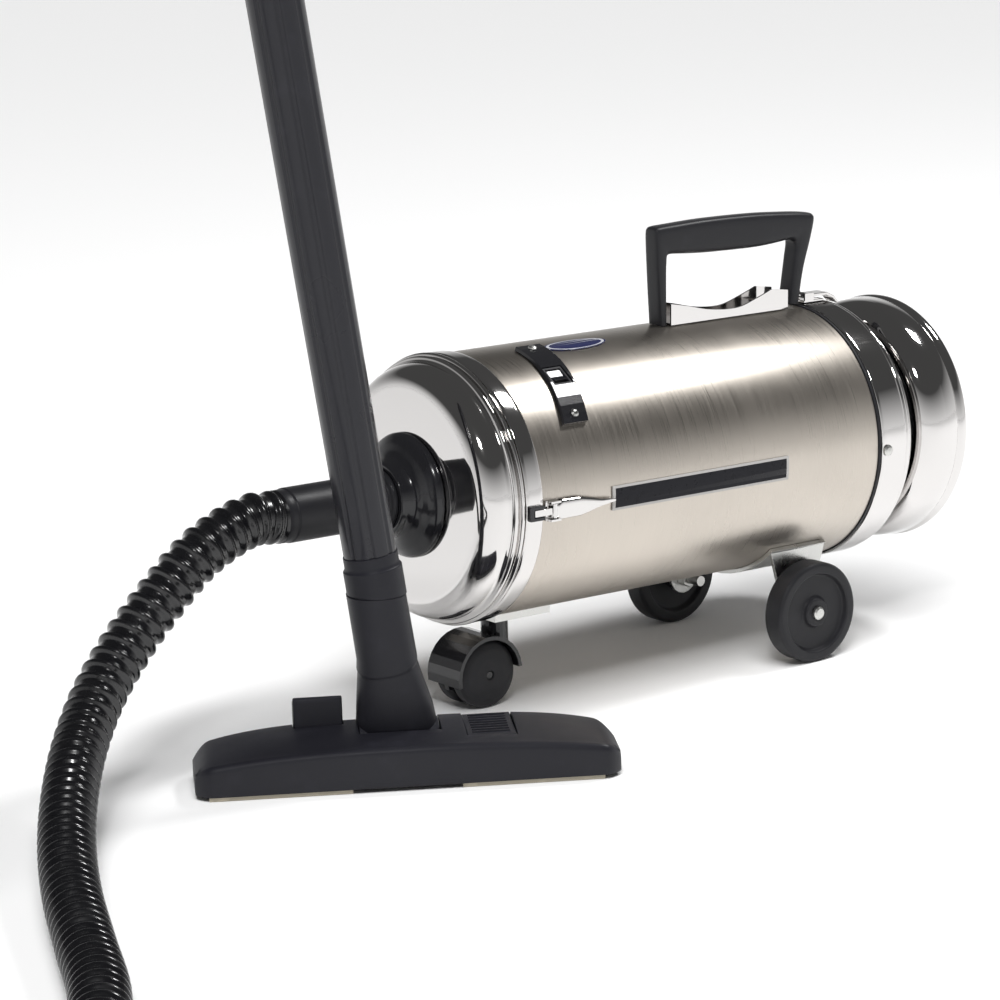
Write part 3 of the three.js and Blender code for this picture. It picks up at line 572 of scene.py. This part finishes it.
def material(key):
    """The finished material of that name, made the first time it is asked for."""
    if key not in MATERIALS:
        drum, tool = bpy.context.scene.canister_drum, bpy.context.scene.canister_tool
        plastic = tuple(drum.plastic)
        makers = {
            "steel": lambda: brushed_steel(tuple(drum.steel)),
            "chrome": lambda: chrome(tuple(drum.chrome)),
            "zinc": plated_zinc,
            "gloss": lambda: moulding("gloss_black", plastic, 0.16, coat=0.4),
            "satin": lambda: moulding("satin_black", shade(plastic, 1.3), 0.42, 0.00012, 1800.0),
            "handle": lambda: moulding("handle_black", shade(plastic, 1.2), 0.38, 0.0001, 1500.0),
            "tool": lambda: moulding("tool_grey_black", tuple(tool.plastic), 0.46, 0.00014, 1700.0),
            "wand": lambda: moulding("wand_black", tuple(tool.plastic), 0.3, 0.00008, 1700.0, coat=0.25),
            "rubber": lambda: moulding("wheel_rubber", shade(plastic, 1.1), 0.5, 0.00008, 1200.0),
            "hose": hose_plastic,
            "pale": lambda: moulding("pale_nylon", (0.42, 0.38, 0.3), 0.5, 0.0001),
            "paper": paper,
            "copper": winding,
            "badge": badge_enamel,
            "plate": plate_lacquer,
        }
        MATERIALS[key] = makers[key]()
    return MATERIALS[key]


# The finish of each node that keeps its CAD shape
CAD_FINISH = {
    "filter_bag": "paper", "motor_bulkhead": "zinc", "motor_housing": "zinc", "rotor": "copper",
    "impeller": "zinc", "stator": "copper", "bearing_front": "zinc", "bearing_rear": "zinc",
    "exhaust_filter": "paper", "exhaust_grille": "satin", "band_screw": "zinc",
    "handle_channel": "chrome", "switch_strap": "gloss", "switch_housing": "satin", "rocker": "gloss",
    "strap_screw_lower": "zinc", "strap_screw_upper": "zinc",
    "name_plate": "plate", "oval_badge": "badge", "latch_base": "chrome", "latch_keeper": "gloss",
    "latch_hook": "chrome", "rear_latch_base": "chrome", "rear_latch_lever": "chrome",
    "rear_bracket": "zinc", "caster_plate": "zinc", "axle_bolt_left": "zinc", "axle_bolt_right": "zinc",
    "axle_nut_left": "zinc", "axle_nut_right": "zinc", "caster_hood": "gloss", "sole_front_left": "pale",
    "sole_front_right": "pale", "brush_strip": "satin",
}

# How wide a bevel those nodes' sharp edges get, in millimetres
SOFT_EDGES = {
    "switch_strap": 0.5, "latch_base": 0.25, "latch_keeper": 0.5, "latch_hook": 0.3,
    "rear_latch_base": 0.25, "rear_latch_lever": 0.5, "rear_bracket": 0.4, "caster_plate": 0.4,
    "caster_hood": 0.8, "sole_front_left": 0.5, "sole_front_right": 0.5, "handle_channel": 0.4,
    "name_plate": 0.4, "axle_nut_left": 0.4, "axle_nut_right": 0.4,
    "exhaust_grille": 0.4, "switch_housing": 0.4, "rocker": 0.4, "oval_badge": 0.3,
}


# ---- operators ----

class CANISTER_OT_stage(bpy.types.Operator):
    """Camera at the near side, a pale floor and soft lights"""
    bl_idname = "canister.stage"
    bl_label = "Stage"

    def execute(self, context):
        settings = context.scene.canister_stage
        context.scene.camera = self.put_camera(settings.lens)
        self.put_floor(tuple(settings.floor))
        world = context.scene.world or bpy.data.worlds.new("studio")
        context.scene.world = world
        world.use_nodes = True
        self.put_sky(world.node_tree)
        self.put_lamp("key_soft", (-1.9, -2.2, 2.8), 0.45)
        self.put_lamp("drum_band", (1.65, -0.25, 2.2), 0.5)
        self.put_sun((0.32, 0.36, -1.0))
        context.scene.view_settings.view_transform = "Standard"
        return {"FINISHED"}

    def put_camera(self, lens):
        """Camera given by its place and by its right, up and back directions."""
        camera = new_object("camera", bpy.data.cameras.new("camera"))
        camera.data.lens = lens
        camera.data.sensor_width = 36
        camera.data.clip_start = 0.1
        camera.data.clip_end = 50
        right = (0.78594, -0.61762, -0.0289)
        up = (0.16356, 0.1626, 0.97304)
        back = (-0.59628, -0.76948, 0.22881)
        turn = Matrix((right, up, back)).transposed().to_4x4()
        camera.matrix_world = Matrix.Translation(row_place(CAMERA).tolist()) @ turn
        return camera

    def put_floor(self, color):
        """A flat square far wider than the view."""
        size = 30.0
        corners = [[-size, -size, 0], [size, -size, 0], [size, size, 0], [-size, size, 0]]
        mesh = bpy.data.meshes.new("floor")
        mesh.from_pydata(corners, [], [[0, 1, 2, 3]])
        mesh.materials.append(Finish("floor_white", color, 0.9).mat)
        new_object("floor", mesh)

    def put_sky(self, tree):
        """Pale at the horizon and dark overhead, so that bright metal has something dark to reflect."""
        sky = Nodes(tree)
        where = sky.node("ShaderNodeTexCoord")["Generated"]
        height = sky.node("ShaderNodeSeparateXYZ", Vector=where)["Z"]
        strength = sky.ramp(height, 0.02, 0.42, 0.85, 0.07)
        background = tree.nodes["Background"]
        background.inputs["Color"].default_value = (1, 1, 1, 1)
        tree.links.new(strength.out, background.inputs["Strength"])

    def put_lamp(self, name, place, size):
        """A square soft light of 30 W that points at the machine."""
        light = bpy.data.lights.new(name, "AREA")
        light.energy = 30
        light.size = size
        lamp = new_object(name, light)
        machine = np.array([0.1, 0.0, 0.15])
        aim = Vector(machine - np.array(place))
        lamp.matrix_world = Matrix.Translation(place) @ aim.to_track_quat("-Z", "Y").to_matrix().to_4x4()

    def put_sun(self, heading):
        """A wide sun that fills the shadows and isn't reflected."""
        light = bpy.data.lights.new("even_light", "SUN")
        light.energy = 2.9
        light.angle = np.radians(40)
        lamp = new_object("even_light", light)
        lamp.visible_glossy = False
        lamp.matrix_world = Vector(heading).to_track_quat("-Z", "Y").to_matrix().to_4x4()


def bent_end():
    """The bent end's centre line: straight on from the wand, an arc of a circle, and straight to its mouth.
    Returns the line, the mouth and the heading there."""
    along = WAND_DIRECTION
    across = unit(BEND_HEADING - along * (BEND_HEADING @ along))
    foot = WAND_SPAN[1] + BEND_GAP
    start = WAND_START + along * foot + np.outer(np.linspace(0, BEND_LEAD, 12)[:-1], along)
    a = np.linspace(0, BEND_ANGLE, 60)
    arc = (WAND_START + along * (foot + BEND_LEAD) + np.outer(np.sin(a) * BEND_RADIUS, along)
           + np.outer((1 - np.cos(a)) * BEND_RADIUS, across))
    heading = along * np.cos(BEND_ANGLE) + across * np.sin(BEND_ANGLE)
    end = arc[-1] + np.outer(np.linspace(0, BEND_TAIL, 8)[1:], heading)
    return np.vstack([start, arc, end]), arc[-1] + heading * BEND_TAIL, heading


def ridged(at, outer, pitch, depth):
    """The hose's radius at each length along it: outer - depth (1 - crest) fade. crest is a raised cosine of
    the pitch, cut off low down and made fuller, and fade brings both ends back to the full radius."""
    wave = 0.5 - 0.5 * np.cos(2 * np.pi * at / pitch)
    crest = np.clip(wave * 1.9 - 0.9, 0, 1) ** 0.6
    fade = np.clip(np.minimum(at, at[-1] - at) / 6.0, 0, 1)
    return outer - depth * (1 - crest) * fade


class CANISTER_OT_hose(bpy.types.Operator):
    """Corrugated hose from the inlet cuff, over the floor, to the wand's bent end"""
    bl_idname = "canister.hose"
    bl_label = "Hose"

    def execute(self, context):
        settings = context.scene.canister_hose
        outer = settings.diameter * 500
        pitch = settings.pitch * 1e3
        depth = settings.depth * 1e3
        _, tip, heading = bent_end()
        last = tip + heading * CUFF_MOUTH
        run_in = last + heading * 34
        route = spline(HOSE_POINTS + [run_in.tolist(), last.tolist()], 24)
        coarse, _ = evenly(route, 10.0)
        line, at = evenly(route, pitch / 12)
        skin = tube(line, ridged(at, outer, pitch, depth), HOSE_SIDES)
        inside = tube(line, outer - depth - 0.6, HOSE_SIDES)[::-4]
        rows = np.vstack([skin, inside])
        faces = grid_faces(len(rows), HOSE_SIDES, close_rows=True)
        hose = make_piece("corrugated_hose", row_place(rows.reshape(-1, 3)), faces, material("hose"),
                          "canister", "hose", slot="matte", smooth=60)
        row_place(line[0]).tolist()
        row_place(coarse).tolist()
        return {"FINISHED"}


def drum_ring(name, profile, finish, node, slot, smooth=45):
    """A closed profile turned round the drum's axis, as a fixed piece."""
    verts, faces = turned(profile, bpy.context.scene.canister_drum.facets)
    make_piece(name, drum_place(verts), faces, material(finish), "canister", node, slot=slot, smooth=smooth)


class CANISTER_OT_drum(bpy.types.Operator):
    """Brushed drum with its front band, front cap, inlet flange and cuff"""
    bl_idname = "canister.drum"
    bl_label = "Drum and front cap"

    def execute(self, context):
        shell = [[-3, 95], [333, 95], [333, 96.5], [-3, 96.5]]
        drum_ring("drum_shell", eased(shell, 0.3), "steel", "body_tube", "brushed", 35)
        hoop = [[-4.8, 96.8], [10.8, 96.8], [10.6, 97.6], [9.6, 98.3], [7, 98.5], [-2.6, 98.5],
                [-4.4, 97.9]]
        drum_ring("front_hoop", eased(hoop, 0.5), "chrome", "front_band", "chrome", 35)
        self.front_cap()
        flange = [[-35.6, 24], [-35.6, 45.2], [-38.6, 45.2], [-41.5, 43.4], [-45, 38.5], [-47.5, 33],
                  [-50, 29.6], [-54, 27.4], [-60, 26.6], [-60, 21.5], [-40, 21.5], [-40, 24]]
        drum_ring("inlet_flange", eased(flange, 1.4), "gloss", "inlet_collar", "gloss", 60)
        cuff = [[-150, 16], [-44, 16], [-44, 21], [-60.3, 21], [-60.3, 22.6], [-64, 22.6], [-65, 20.2],
                [-100, 19.6], [-142, 19.6], [-143, 18.9], [-147, 18.9], [-150, 18.6]]
        drum_ring("cuff_sleeve", eased(cuff, 0.6), "satin", "inlet_cuff", "matte", 60)
        return {"FINISHED"}

    def front_cap(self):
        """A quarter ellipse from the flat face to the shoulder, two rolled beads, and the wall inside."""
        outside = np.vstack([
            [[-35.3, 27.0]], quarter(-35.3, 76.3, -16.6, 92.8, 28), [[-15.4, 93.0], [-14.2, 94.0]],
            bead(-13.8, 94.6, 4.2, 2.5), bead(-9.2, 95.4, 3.8, 3.5), [[-5.4, 95.8]],
        ])
        inside = np.vstack([
            [[-5.4, 95.2], [-13, 92.2]], quarter(-33.9, 76.3, -17, 91.4, 10)[::-1], [[-33.9, 27.0]],
        ])
        drum_ring("front_pressing", np.vstack([outside, inside]), "chrome", "front_cap", "chrome", 50)


class CANISTER_OT_rear(bpy.types.Operator):
    """Gasket, rear hoop, stepped end cover, neck, bowl and blower port"""
    bl_idname = "canister.rear"
    bl_label = "Rear end"

    def execute(self, context):
        gasket = [[333.3, 90], [335.7, 90], [335.7, 97.4], [333.3, 97.4]]
        drum_ring("drum_gasket", eased(gasket, 0.5), "rubber", "rear_gasket", "rubber")
        hoop = [[336, 96.8], [361, 96.8], [360.6, 98], [359, 98.4], [338, 98.4], [336.6, 98]]
        drum_ring("rear_hoop", eased(hoop, 0.6), "chrome", "rear_band", "chrome")
        steps = [[336, 94], [336, 96.5], [361.4, 96.5], [362.6, 97.6], [364.8, 97], [366, 93.6],
                 [368, 94.4], [369.8, 93], [371, 89.6], [373.2, 89.9], [375, 87], [375, 44], [373, 44],
                 [373, 86], [367, 91], [361, 94]]
        drum_ring("stepped_cover", eased(steps, 0.8), "chrome", "end_cover", "chrome")
        neck = [[375.3, 58], [386.7, 58], [386.7, 62], [375.3, 62]]
        drum_ring("bowl_neck", eased(neck, 0.4), "satin", "rear_neck", "matte")
        self.bowl()
        port = [[391, 19], [424, 19], [424, 23], [405, 23], [404, 30], [401.8, 30], [401.8, 23],
                [391, 23]]
        drum_ring("port_tube", eased(port, 0.8), "gloss", "blower_port", "gloss")
        return {"FINISHED"}

    def bowl(self):
        """A quarter ellipse out to the rim, a groove and a rolled edge, and back down the inside."""
        profile = np.vstack([
            [[387, 50.0]], quarter(387, 76, 409, 92.6, 28),
            [[418, 93.4], [419, 92.8], [420, 92.6], [421, 93.4]], bead(422, 93.4, 5.8, 0.8)[1:],
            [[428, 92.4], [427.8, 91.2], [426.6, 90.6], [420, 91]],
            quarter(388.4, 76, 409, 91.1, 14)[::-1], [[388.4, 50.0]],
        ])
        drum_ring("bowl_pressing", profile, "chrome", "rear_bowl", "chrome", 50)


class CANISTER_OT_handle(bpy.types.Operator):
    """Carrying handle that stands on the drum's top line"""
    bl_idname = "canister.handle"
    bl_label = "Carrying handle"

    def execute(self, context):
        outer = spline([[195.6, 95.6], [193.4, 125], [191.6, 156], [191.3, 166.6], [192.2, 169.6],
                        [195.6, 170.5], [206, 171], [242, 172], [290, 171.2], [325, 169], [342, 167.3],
                        [348.4, 165.6], [349.2, 161], [345, 146], [338, 124], [333, 99.4]], 10)
        inner = spline([[201.4, 95.6], [201.4, 115], [201.6, 134], [202, 142], [202.2, 145.6],
                        [203.4, 148.2], [208, 149], [226, 147.6], [245, 146.6], [285, 145.8],
                        [306, 146.6], [322, 148], [328, 147.2], [329.8, 143.6], [328.6, 133],
                        [323.6, 99.4]], 10)
        verts, faces = self.grip(outer, inner)
        make_piece("grip_moulding", drum_place(verts), faces, material("handle"), "canister",
                   "handle_grip", slot="matte", smooth=60)
        return {"FINISHED"}

    def grip(self, outer, inner):
        """Squared rings between the two outlines: middle + half the gap times u, half width times w. The
        ends close to a point each, and what would lie in the drum is lifted to rest on it."""
        half_width, rest = 8, 96.9
        a = np.linspace(0, 2 * np.pi, HANDLE_SIDES, endpoint=False)
        u, w = squared(np.cos(a), 0.5), squared(np.sin(a), 0.5)
        mid, half = (outer + inner) / 2, (outer - inner) / 2
        rows = np.stack([mid[:, :1] + half[:, :1] * u,
                         np.broadcast_to(half_width * w, (len(mid), HANDLE_SIDES)),
                         mid[:, 1:] + half[:, 1:] * u], -1)
        verts = closed_rows(rows).reshape(-1, 3)
        inside = np.hypot(verts[:, 1], verts[:, 2]) < rest
        verts[inside, 2] = np.sqrt(rest ** 2 - verts[inside, 1] ** 2)
        return verts, grid_faces(len(mid) + 2, HANDLE_SIDES)


class CANISTER_OT_latch(bpy.types.Operator):
    """Domed lever of the front draw latch"""
    bl_idname = "canister.latch"
    bl_label = "Latch lever"

    def execute(self, context):
        verts, faces = self.lever()
        make_piece("lever_pressing", drum_place(verts), faces, material("chrome"), "front_lever",
                   "latch_lever", slot="chrome", smooth=50)
        barrel = eased([[-7.4, 0], [3, 0], [3, 2], [-7.4, 2]], 0.3)
        verts, faces = turned(barrel, 24, (18, -100.9, 0), "z")
        make_piece("lever_barrel", drum_place(verts), faces, material("chrome"), "front_lever", slot="chrome")
        return {"FINISHED"}

    def lever(self):
        """A plate between two edges in X and Z, flat at the back. Its face stands out by
        1.6 sqrt(1 - (2 t - 1)^4) across it, and less towards its tip."""
        back, face, length = -99.9, -100.6, 74.6
        marks = [16, 22, 24.5, 42, 50, 60, 74]
        x = np.linspace(16, 74, 60)
        low = np.interp(x, marks, [-7.4, -7.4, -9.4, -9.2, -7.6, -5, -3.2])
        high = np.interp(x, marks, [2.9, 2.9, 5.0, 4.6, 3.0, 0.6, -1.2])
        t = np.linspace(0, 1, 13)
        z = low[:, None] + (high - low)[:, None] * t
        taper = np.clip((length - x) / 12, 0.25, 1)[:, None]
        dome = 1.6 * np.sqrt(np.clip(1 - (2 * t - 1) ** 4, 0, 1)) * taper
        across = np.broadcast_to(x[:, None], z.shape)
        front = np.stack([across, face - dome, z], -1)
        rear = np.stack([across, np.full(z.shape, back), z], -1)[:, ::-1]
        verts = closed_rows(np.concatenate([front, rear], 1))
        return verts.reshape(-1, 3), grid_faces(len(verts), verts.shape[1])


class CANISTER_OT_wheels(bpy.types.Operator):
    """Fixed rear wheels and the twin wheels of the front caster"""
    bl_idname = "canister.wheels"
    bl_label = "Wheels"

    def execute(self, context):
        tyre = eased([[-13.2, 4.4], [-13.2, 8], [-5, 10], [-5, 27], [-9.4, 29], [-9.4, 36], [-7.4, 38],
                      [7.4, 38], [9.4, 36], [9.4, 30.5], [8.6, 29.6], [5, 28.4], [5, 12.5], [6.2, 11.4],
                      [8.8, 10.4], [8.8, 4.4]], 1.3)
        disc = eased([[2.9, 3.1], [2.9, 22], [4.4, 24.4], [7, 25], [13.6, 25], [15.6, 23.4], [17.2, 19],
                      [18.2, 12], [18.5, 5.6], [18.5, 3.1]], 1.2)
        for side, flip in (("left", -1), ("right", 1)):
            verts, faces = turned(tyre, 112, (AXLE[0], flip * REAR_WHEEL_Y, AXLE[2]), "y", flip)
            make_piece(f"rear_tyre_{side}", row_place(verts), faces, material("rubber"),
                       f"rear_{side}_wheel", f"rear_wheel_{side}", slot="rubber", smooth=50)
            verts, faces = turned(disc, 88, CASTER_HUB, "y", flip)
            make_piece(f"caster_disc_{side}", row_place(verts), faces, material("rubber"),
                       f"caster_{side}_wheel", f"caster_wheel_{side}", slot="rubber", smooth=50)
        return {"FINISHED"}


class CANISTER_OT_wand(bpy.types.Operator):
    """Fluted wand, its collar, bent end and hose cuff"""
    bl_idname = "canister.wand"
    bl_label = "Wand"

    def execute(self, context):
        self.fluted_tube()
        self.collar()
        line, tip, heading = bent_end()
        rows = np.vstack([tube(line, 18.8, TUBE_SIDES), tube(line, WAND_BORE, TUBE_SIDES)[::-1]])
        make_piece("bent_end", row_place(rows.reshape(-1, 3)), grid_faces(len(rows), TUBE_SIDES, True),
                   material("tool"), "canister", "bent_tube", slot="matte", smooth=50)
        cuff = eased([[0.3, 16], [62, 16], [62, 20.4], [60, 21.4], [54, 21.4], [52, 20.8], [8, 20.6],
                      [3, 20.2], [0.3, 19.6]], 0.8)
        rows = axis_rings(tip, heading, cuff)
        make_piece("cuff_ring", row_place(rows.reshape(-1, 3)), grid_faces(len(rows), RING_SIDES, True),
                   material("gloss"), "canister", "hose_cuff", slot="gloss", smooth=50)
        return {"FINISHED"}

    def fluted_tube(self):
        """A tube that widens upwards, with eight flutes: radius = wall - 1.2 clip(3.2 cos 8a - 1.9)^0.8."""
        at = np.linspace(*WAND_SPAN, 40)
        a = np.linspace(0, 2 * np.pi, WAND_SIDES, endpoint=False)
        flute = 1.2 * np.clip(np.cos(a * 8 + 0.6) * 3.2 - 1.9, 0, 1) ** 0.8
        wall = np.interp(at, WAND_SPAN, [18.2, 19.6])[:, None] - flute[None, :]
        line = WAND_START + np.outer(at, WAND_DIRECTION)
        bore = tube(line, WAND_BORE, WAND_SIDES)[::-13]
        rows = np.vstack([tube(line, wall, WAND_SIDES), bore])
        make_piece("fluted_wand", row_place(rows.reshape(-1, 3)), grid_faces(len(rows), WAND_SIDES, True),
                   material("wand"), "canister", "wand_tube", slot="matte", smooth=50)

    def collar(self):
        """The wand's foot: a sleeve whose lower edge is cut level where it meets the neck."""
        level = NECK_TOP + 0.3
        profile = eased([[88, 15.9], [121.7, 15.9], [121.7, 18.9], [114, 18.9], [112.4, 19.6],
                         [111.6, 20.4], [88, 20.4]], 0.8)
        verts = axis_rings(WAND_START, WAND_DIRECTION, profile).reshape(-1, 3)
        lift = np.clip(level - verts[:, 2], 0, None) / WAND_DIRECTION[2]
        verts = verts + lift[:, None] * WAND_DIRECTION
        make_piece("wand_foot", row_place(verts), grid_faces(len(profile), RING_SIDES, True),
                   material("tool"), "canister", "wand_collar", slot="matte", smooth=50)


class CANISTER_OT_floor_tool(bpy.types.Operator):
    """Arched floor tool with its neck and pedals"""
    bl_idname = "canister.floor_tool"
    bl_label = "Floor tool"

    def execute(self, context):
        self.shell(context.scene.canister_tool.length * 500)
        self.neck()
        self.pedals()
        return {"FINISHED"}

    def pedals(self):
        """Left: a tall key whose top slopes back. Right: a flat key level with the shell, ribbed across."""
        (front, front_top), (back, back_top) = RIGHT_KEY_TOP
        tall = [[10, 20], [25, 20], [25, 48], [23.4, 50.6], [13.4, 55.6], [11.2, 55.4], [10, 53.4]]
        self.key("pedal_key_left", LEFT_KEY, tall, 1.4, "left_pedal", "pedal_left")
        flat = [[front, 15], [back, 15], [back, back_top], [front, front_top]]
        self.key("pedal_key_right", RIGHT_KEY, flat, 0.9, "right_pedal", "pedal_right")
        for y in np.arange(-17, 20, 5.2):
            top = np.interp(y, [front, back], [front_top, back_top])
            rib = [[y, top - 1], [y + 2, top - 1], [y + 1.8, top + 0.9], [y + 0.2, top + 0.9]]
            self.key(f"pedal_rib_{int(y + 17)}", (49, 75), rib, 0.3, "right_pedal")

    def key(self, name, span, outline, edge, body, *nodes):
        """An outline in the tool's Y and Z, carried from one X to another, with rounded edges."""
        n = len(outline)
        verts = np.array([[x, y, z] for x in span for y, z in outline], float)
        sides = [[k, (k + 1) % n, n + (k + 1) % n, n + k] for k in range(n)]
        faces = [*sides, list(range(n)), list(range(2 * n - 1, n - 1, -1))]
        make_piece(name, tool_place(verts), faces, material("tool"), body, *nodes, slot="gloss", smooth=30,
                   bevel=edge * 1e-3)

    def shell(self, half):
        """The tool's skin: one section for each station along it, with the holes for the neck and the
        pedals left out. Each end is closed by quads between the two halves of its section."""
        stations = self.stations(half)
        ys, zs = self.sections(stations, half)
        rows, cols = ys.shape
        verts = np.stack([np.broadcast_to(stations[:, None], ys.shape), ys, zs], -1).reshape(-1, 3)
        faces = grid_faces(rows, cols, close_cols=False)
        x, y, z = verts[faces].mean(1).T
        neck_hole = (np.abs(x) < NOTCH) & (y > -12)
        left_hole = (x > LEFT_HOLE[0]) & (x < LEFT_HOLE[1]) & (y > 9.4) & (y < 26) & (z > 18)
        right_hole = (x > RIGHT_HOLE[0]) & (x < RIGHT_HOLE[1]) & (y > -24.6) & (y < 26) & (z > 18)
        near = np.arange(cols // 2)
        far = cols - 1 - near
        ends = [first + np.stack([near, near + 1, far - 1, far], -1) for first in (0, (rows - 1) * cols)]
        faces = np.vstack([faces[~(neck_hole | left_hole | right_hole)], *ends])
        skin = make_piece("tool_shell", tool_place(verts), faces, material("tool"), "floor_tool", "nozzle",
                          slot="matte", smooth=45)
        wall = skin.modifiers.new("wall", "SOLIDIFY")
        wall.thickness = 0.0026
        wall.offset = -1
        bevel_edges(skin, 0.0006, 50)

    def stations(self, half):
        """Places along the tool: even ones, closer ones at both ends, and one at each edge of a hole."""
        even = np.linspace(-half, half, 121) + TOOL_MIDDLE
        close = np.linspace(0, 9, 10)
        holes = [*LEFT_HOLE, -NOTCH, NOTCH, *RIGHT_HOLE]
        return np.unique(np.r_[even, holes, close + TOOL_MIDDLE - half, TOOL_MIDDLE + half - close])

    def sections(self, stations, half):
        """Y and Z of each section: up the front wall, over a rounded edge, along a top that rises to the
        back, over a rounder edge and down the back wall. Heights fall from the middle by a power of the
        distance u, and over the last 13 mm (end from 0 to 1) the section also draws in."""
        out = np.abs(stations - TOOL_MIDDLE)
        u = np.clip(out / half, 0, 1)
        end = np.clip((out - (half - 13)) / 13, 0, 1)
        sink = 1 - 0.26 * end ** 2
        front = (31.2 - 8.5 * u ** 2.6) * sink
        back = (36.0 - 12.5 * u ** 3.6) * sink
        front_y = -40 + 9.0 * end ** 2
        back_y = 29 - 12.0 * end ** 2
        bottom, edge, back_edge, back_drop = 3.3, 5.0, 11, 12
        turn = np.linspace(0, np.pi / 2, 9)
        section = []
        for k in np.linspace(0, 1, 6)[:-1]:
            section.append((front_y, bottom + (front - edge - bottom) * k))
        for c, s in zip(np.cos(turn), np.sin(turn)):
            section.append((front_y + edge * (1 - c), front - edge + edge * s))
        for y in (-30.0, -24.6, -18.0, -12.0, -4.0, 4.0, 9.4):
            k = np.clip((y + 35) / 50, 0, 1)
            section.append((np.minimum(y, back_y - 13), front + (back - front) * (k * (2 - k))))
        for c, s in zip(np.cos(turn), np.sin(turn)):
            section.append((back_y - back_edge + back_edge * s, back - back_drop + back_drop * c))
        for k in (0.3, 0.6, 1.0):
            section.append((back_y, (back - back_drop) * (1 - k) + bottom * k))
        return np.array(section).transpose(1, 2, 0)

    def neck(self):
        """Squared ellipses stacked from the pitch barrel up to the wand: a flared foot, an oblique step at
        the seam, and a sleeve that leans with the wand. Each radius is its curve + 0.7 above the seam."""
        z = np.r_[np.linspace(21, 50, 14), np.linspace(51, 129.4, 90), NECK_TOP]
        a = np.linspace(0, 2 * np.pi, RING_SIDES, endpoint=False)
        seam = np.clip(z[:, None] - 80 - 7 * np.cos(a - 0.9)[None, :], 0, 1)
        marks = [21, 30, 38, 50, 62, 74, 84, NECK_TOP]
        across = np.interp(z, marks, [26, 27.6, 27.8, 26.4, 24.2, 21.8, 20.2, 19.8])[:, None] + 0.7 * seam
        deep = np.interp(z, marks, [14.4, 16.4, 17.6, 18.2, 19, 19.6, 19.8, 19.8])[:, None] + 0.7 * seam
        middle_x = np.interp(z, [21, 50, 84, NECK_TOP], [0, -2.2, -6.6, -12.6])
        middle_y = np.interp(z, [21, 38, 84, 96, NECK_TOP], [8, 7.6, 1, 0, 0])
        outside = stacked(z, middle_x, middle_y, across * squared(np.cos(a), 0.85),
                          deep * squared(np.sin(a), 0.85))
        z = np.linspace(NECK_TOP, 24, 12)
        middle_x = np.interp(z, [21, 84, NECK_TOP], [0, -6.6, -12.6])
        middle_y = np.interp(z, [21, 84, 96, NECK_TOP], [8, 1, 0, 0])
        bore = np.interp(z, [21, NECK_TOP], [12.5, 15.4])[:, None]
        inside = stacked(z, middle_x, middle_y, bore * np.cos(a), bore * np.sin(a))
        rows = np.vstack([outside, inside])
        make_piece("neck_shell", tool_place(rows.reshape(-1, 3)), grid_faces(len(rows), RING_SIDES, True),
                   material("tool"), "tool_neck", "neck", slot="matte", smooth=50)
        barrel = eased([[-27.6, 14], [27.6, 14], [27.6, 16.8], [-27.6, 16.8]], 0.6)
        verts, faces = turned(barrel, 72, (0, 8, 21), "x")
        make_piece("neck_barrel", tool_place(verts), faces, material("tool"), "tool_neck", slot="matte",
                   smooth=50)


class CANISTER_OT_fittings(bpy.types.Operator):
    """Materials and softened edges for the pressings, plates, screws and inner works"""
    bl_idname = "canister.fittings"
    bl_label = "Fittings"

    def execute(self, context):
        for name, key in CAD_FINISH.items():
            node = NODES[name]
            node.data.materials.clear()
            node.data.materials.append(material(key))
            if name in SOFT_EDGES:
                weld = node.modifiers.new("weld", "WELD")
                weld.merge_threshold = 1e-5
                bevel_edges(node, SOFT_EDGES[name] * 1e-3, 35)
        return {"FINISHED"}


class CANISTER_PT_panel(bpy.types.Panel):
    """Lists the pieces to build"""
    bl_label = "Canister"
    bl_idname = "CANISTER_PT_panel"
    bl_space_type = "VIEW_3D"
    bl_region_type = "UI"
    bl_category = "Canister"

    def draw(self, context):
        for operator in BUILD:
            self.layout.operator(operator.bl_idname)


# The order in which the pieces are built
BUILD = (CANISTER_OT_stage, CANISTER_OT_hose, CANISTER_OT_drum, CANISTER_OT_rear, CANISTER_OT_handle,
         CANISTER_OT_latch, CANISTER_OT_wheels, CANISTER_OT_wand, CANISTER_OT_floor_tool,
         CANISTER_OT_fittings)
SETTINGS = {"canister_hose": HoseSettings, "canister_drum": DrumSettings, "canister_tool": ToolSettings,
            "canister_stage": StageSettings}


def register():
    for name, group in SETTINGS.items():
        bpy.utils.register_class(group)
        setattr(bpy.types.Scene, name, PointerProperty(type=group))
    for cls in (*BUILD, CANISTER_PT_panel):
        bpy.utils.register_class(cls)


def unregister():
    for cls in (CANISTER_PT_panel, *reversed(BUILD)):
        bpy.utils.unregister_class(cls)
    for name, group in SETTINGS.items():
        delattr(bpy.types.Scene, name)
        bpy.utils.unregister_class(group)


def main():
    """Builds every piece in order."""
    register()
    for operator in BUILD:
        group, action = operator.bl_idname.split(".")
        getattr(getattr(bpy.ops, group), action)()


if __name__ == "__main__":
    main()
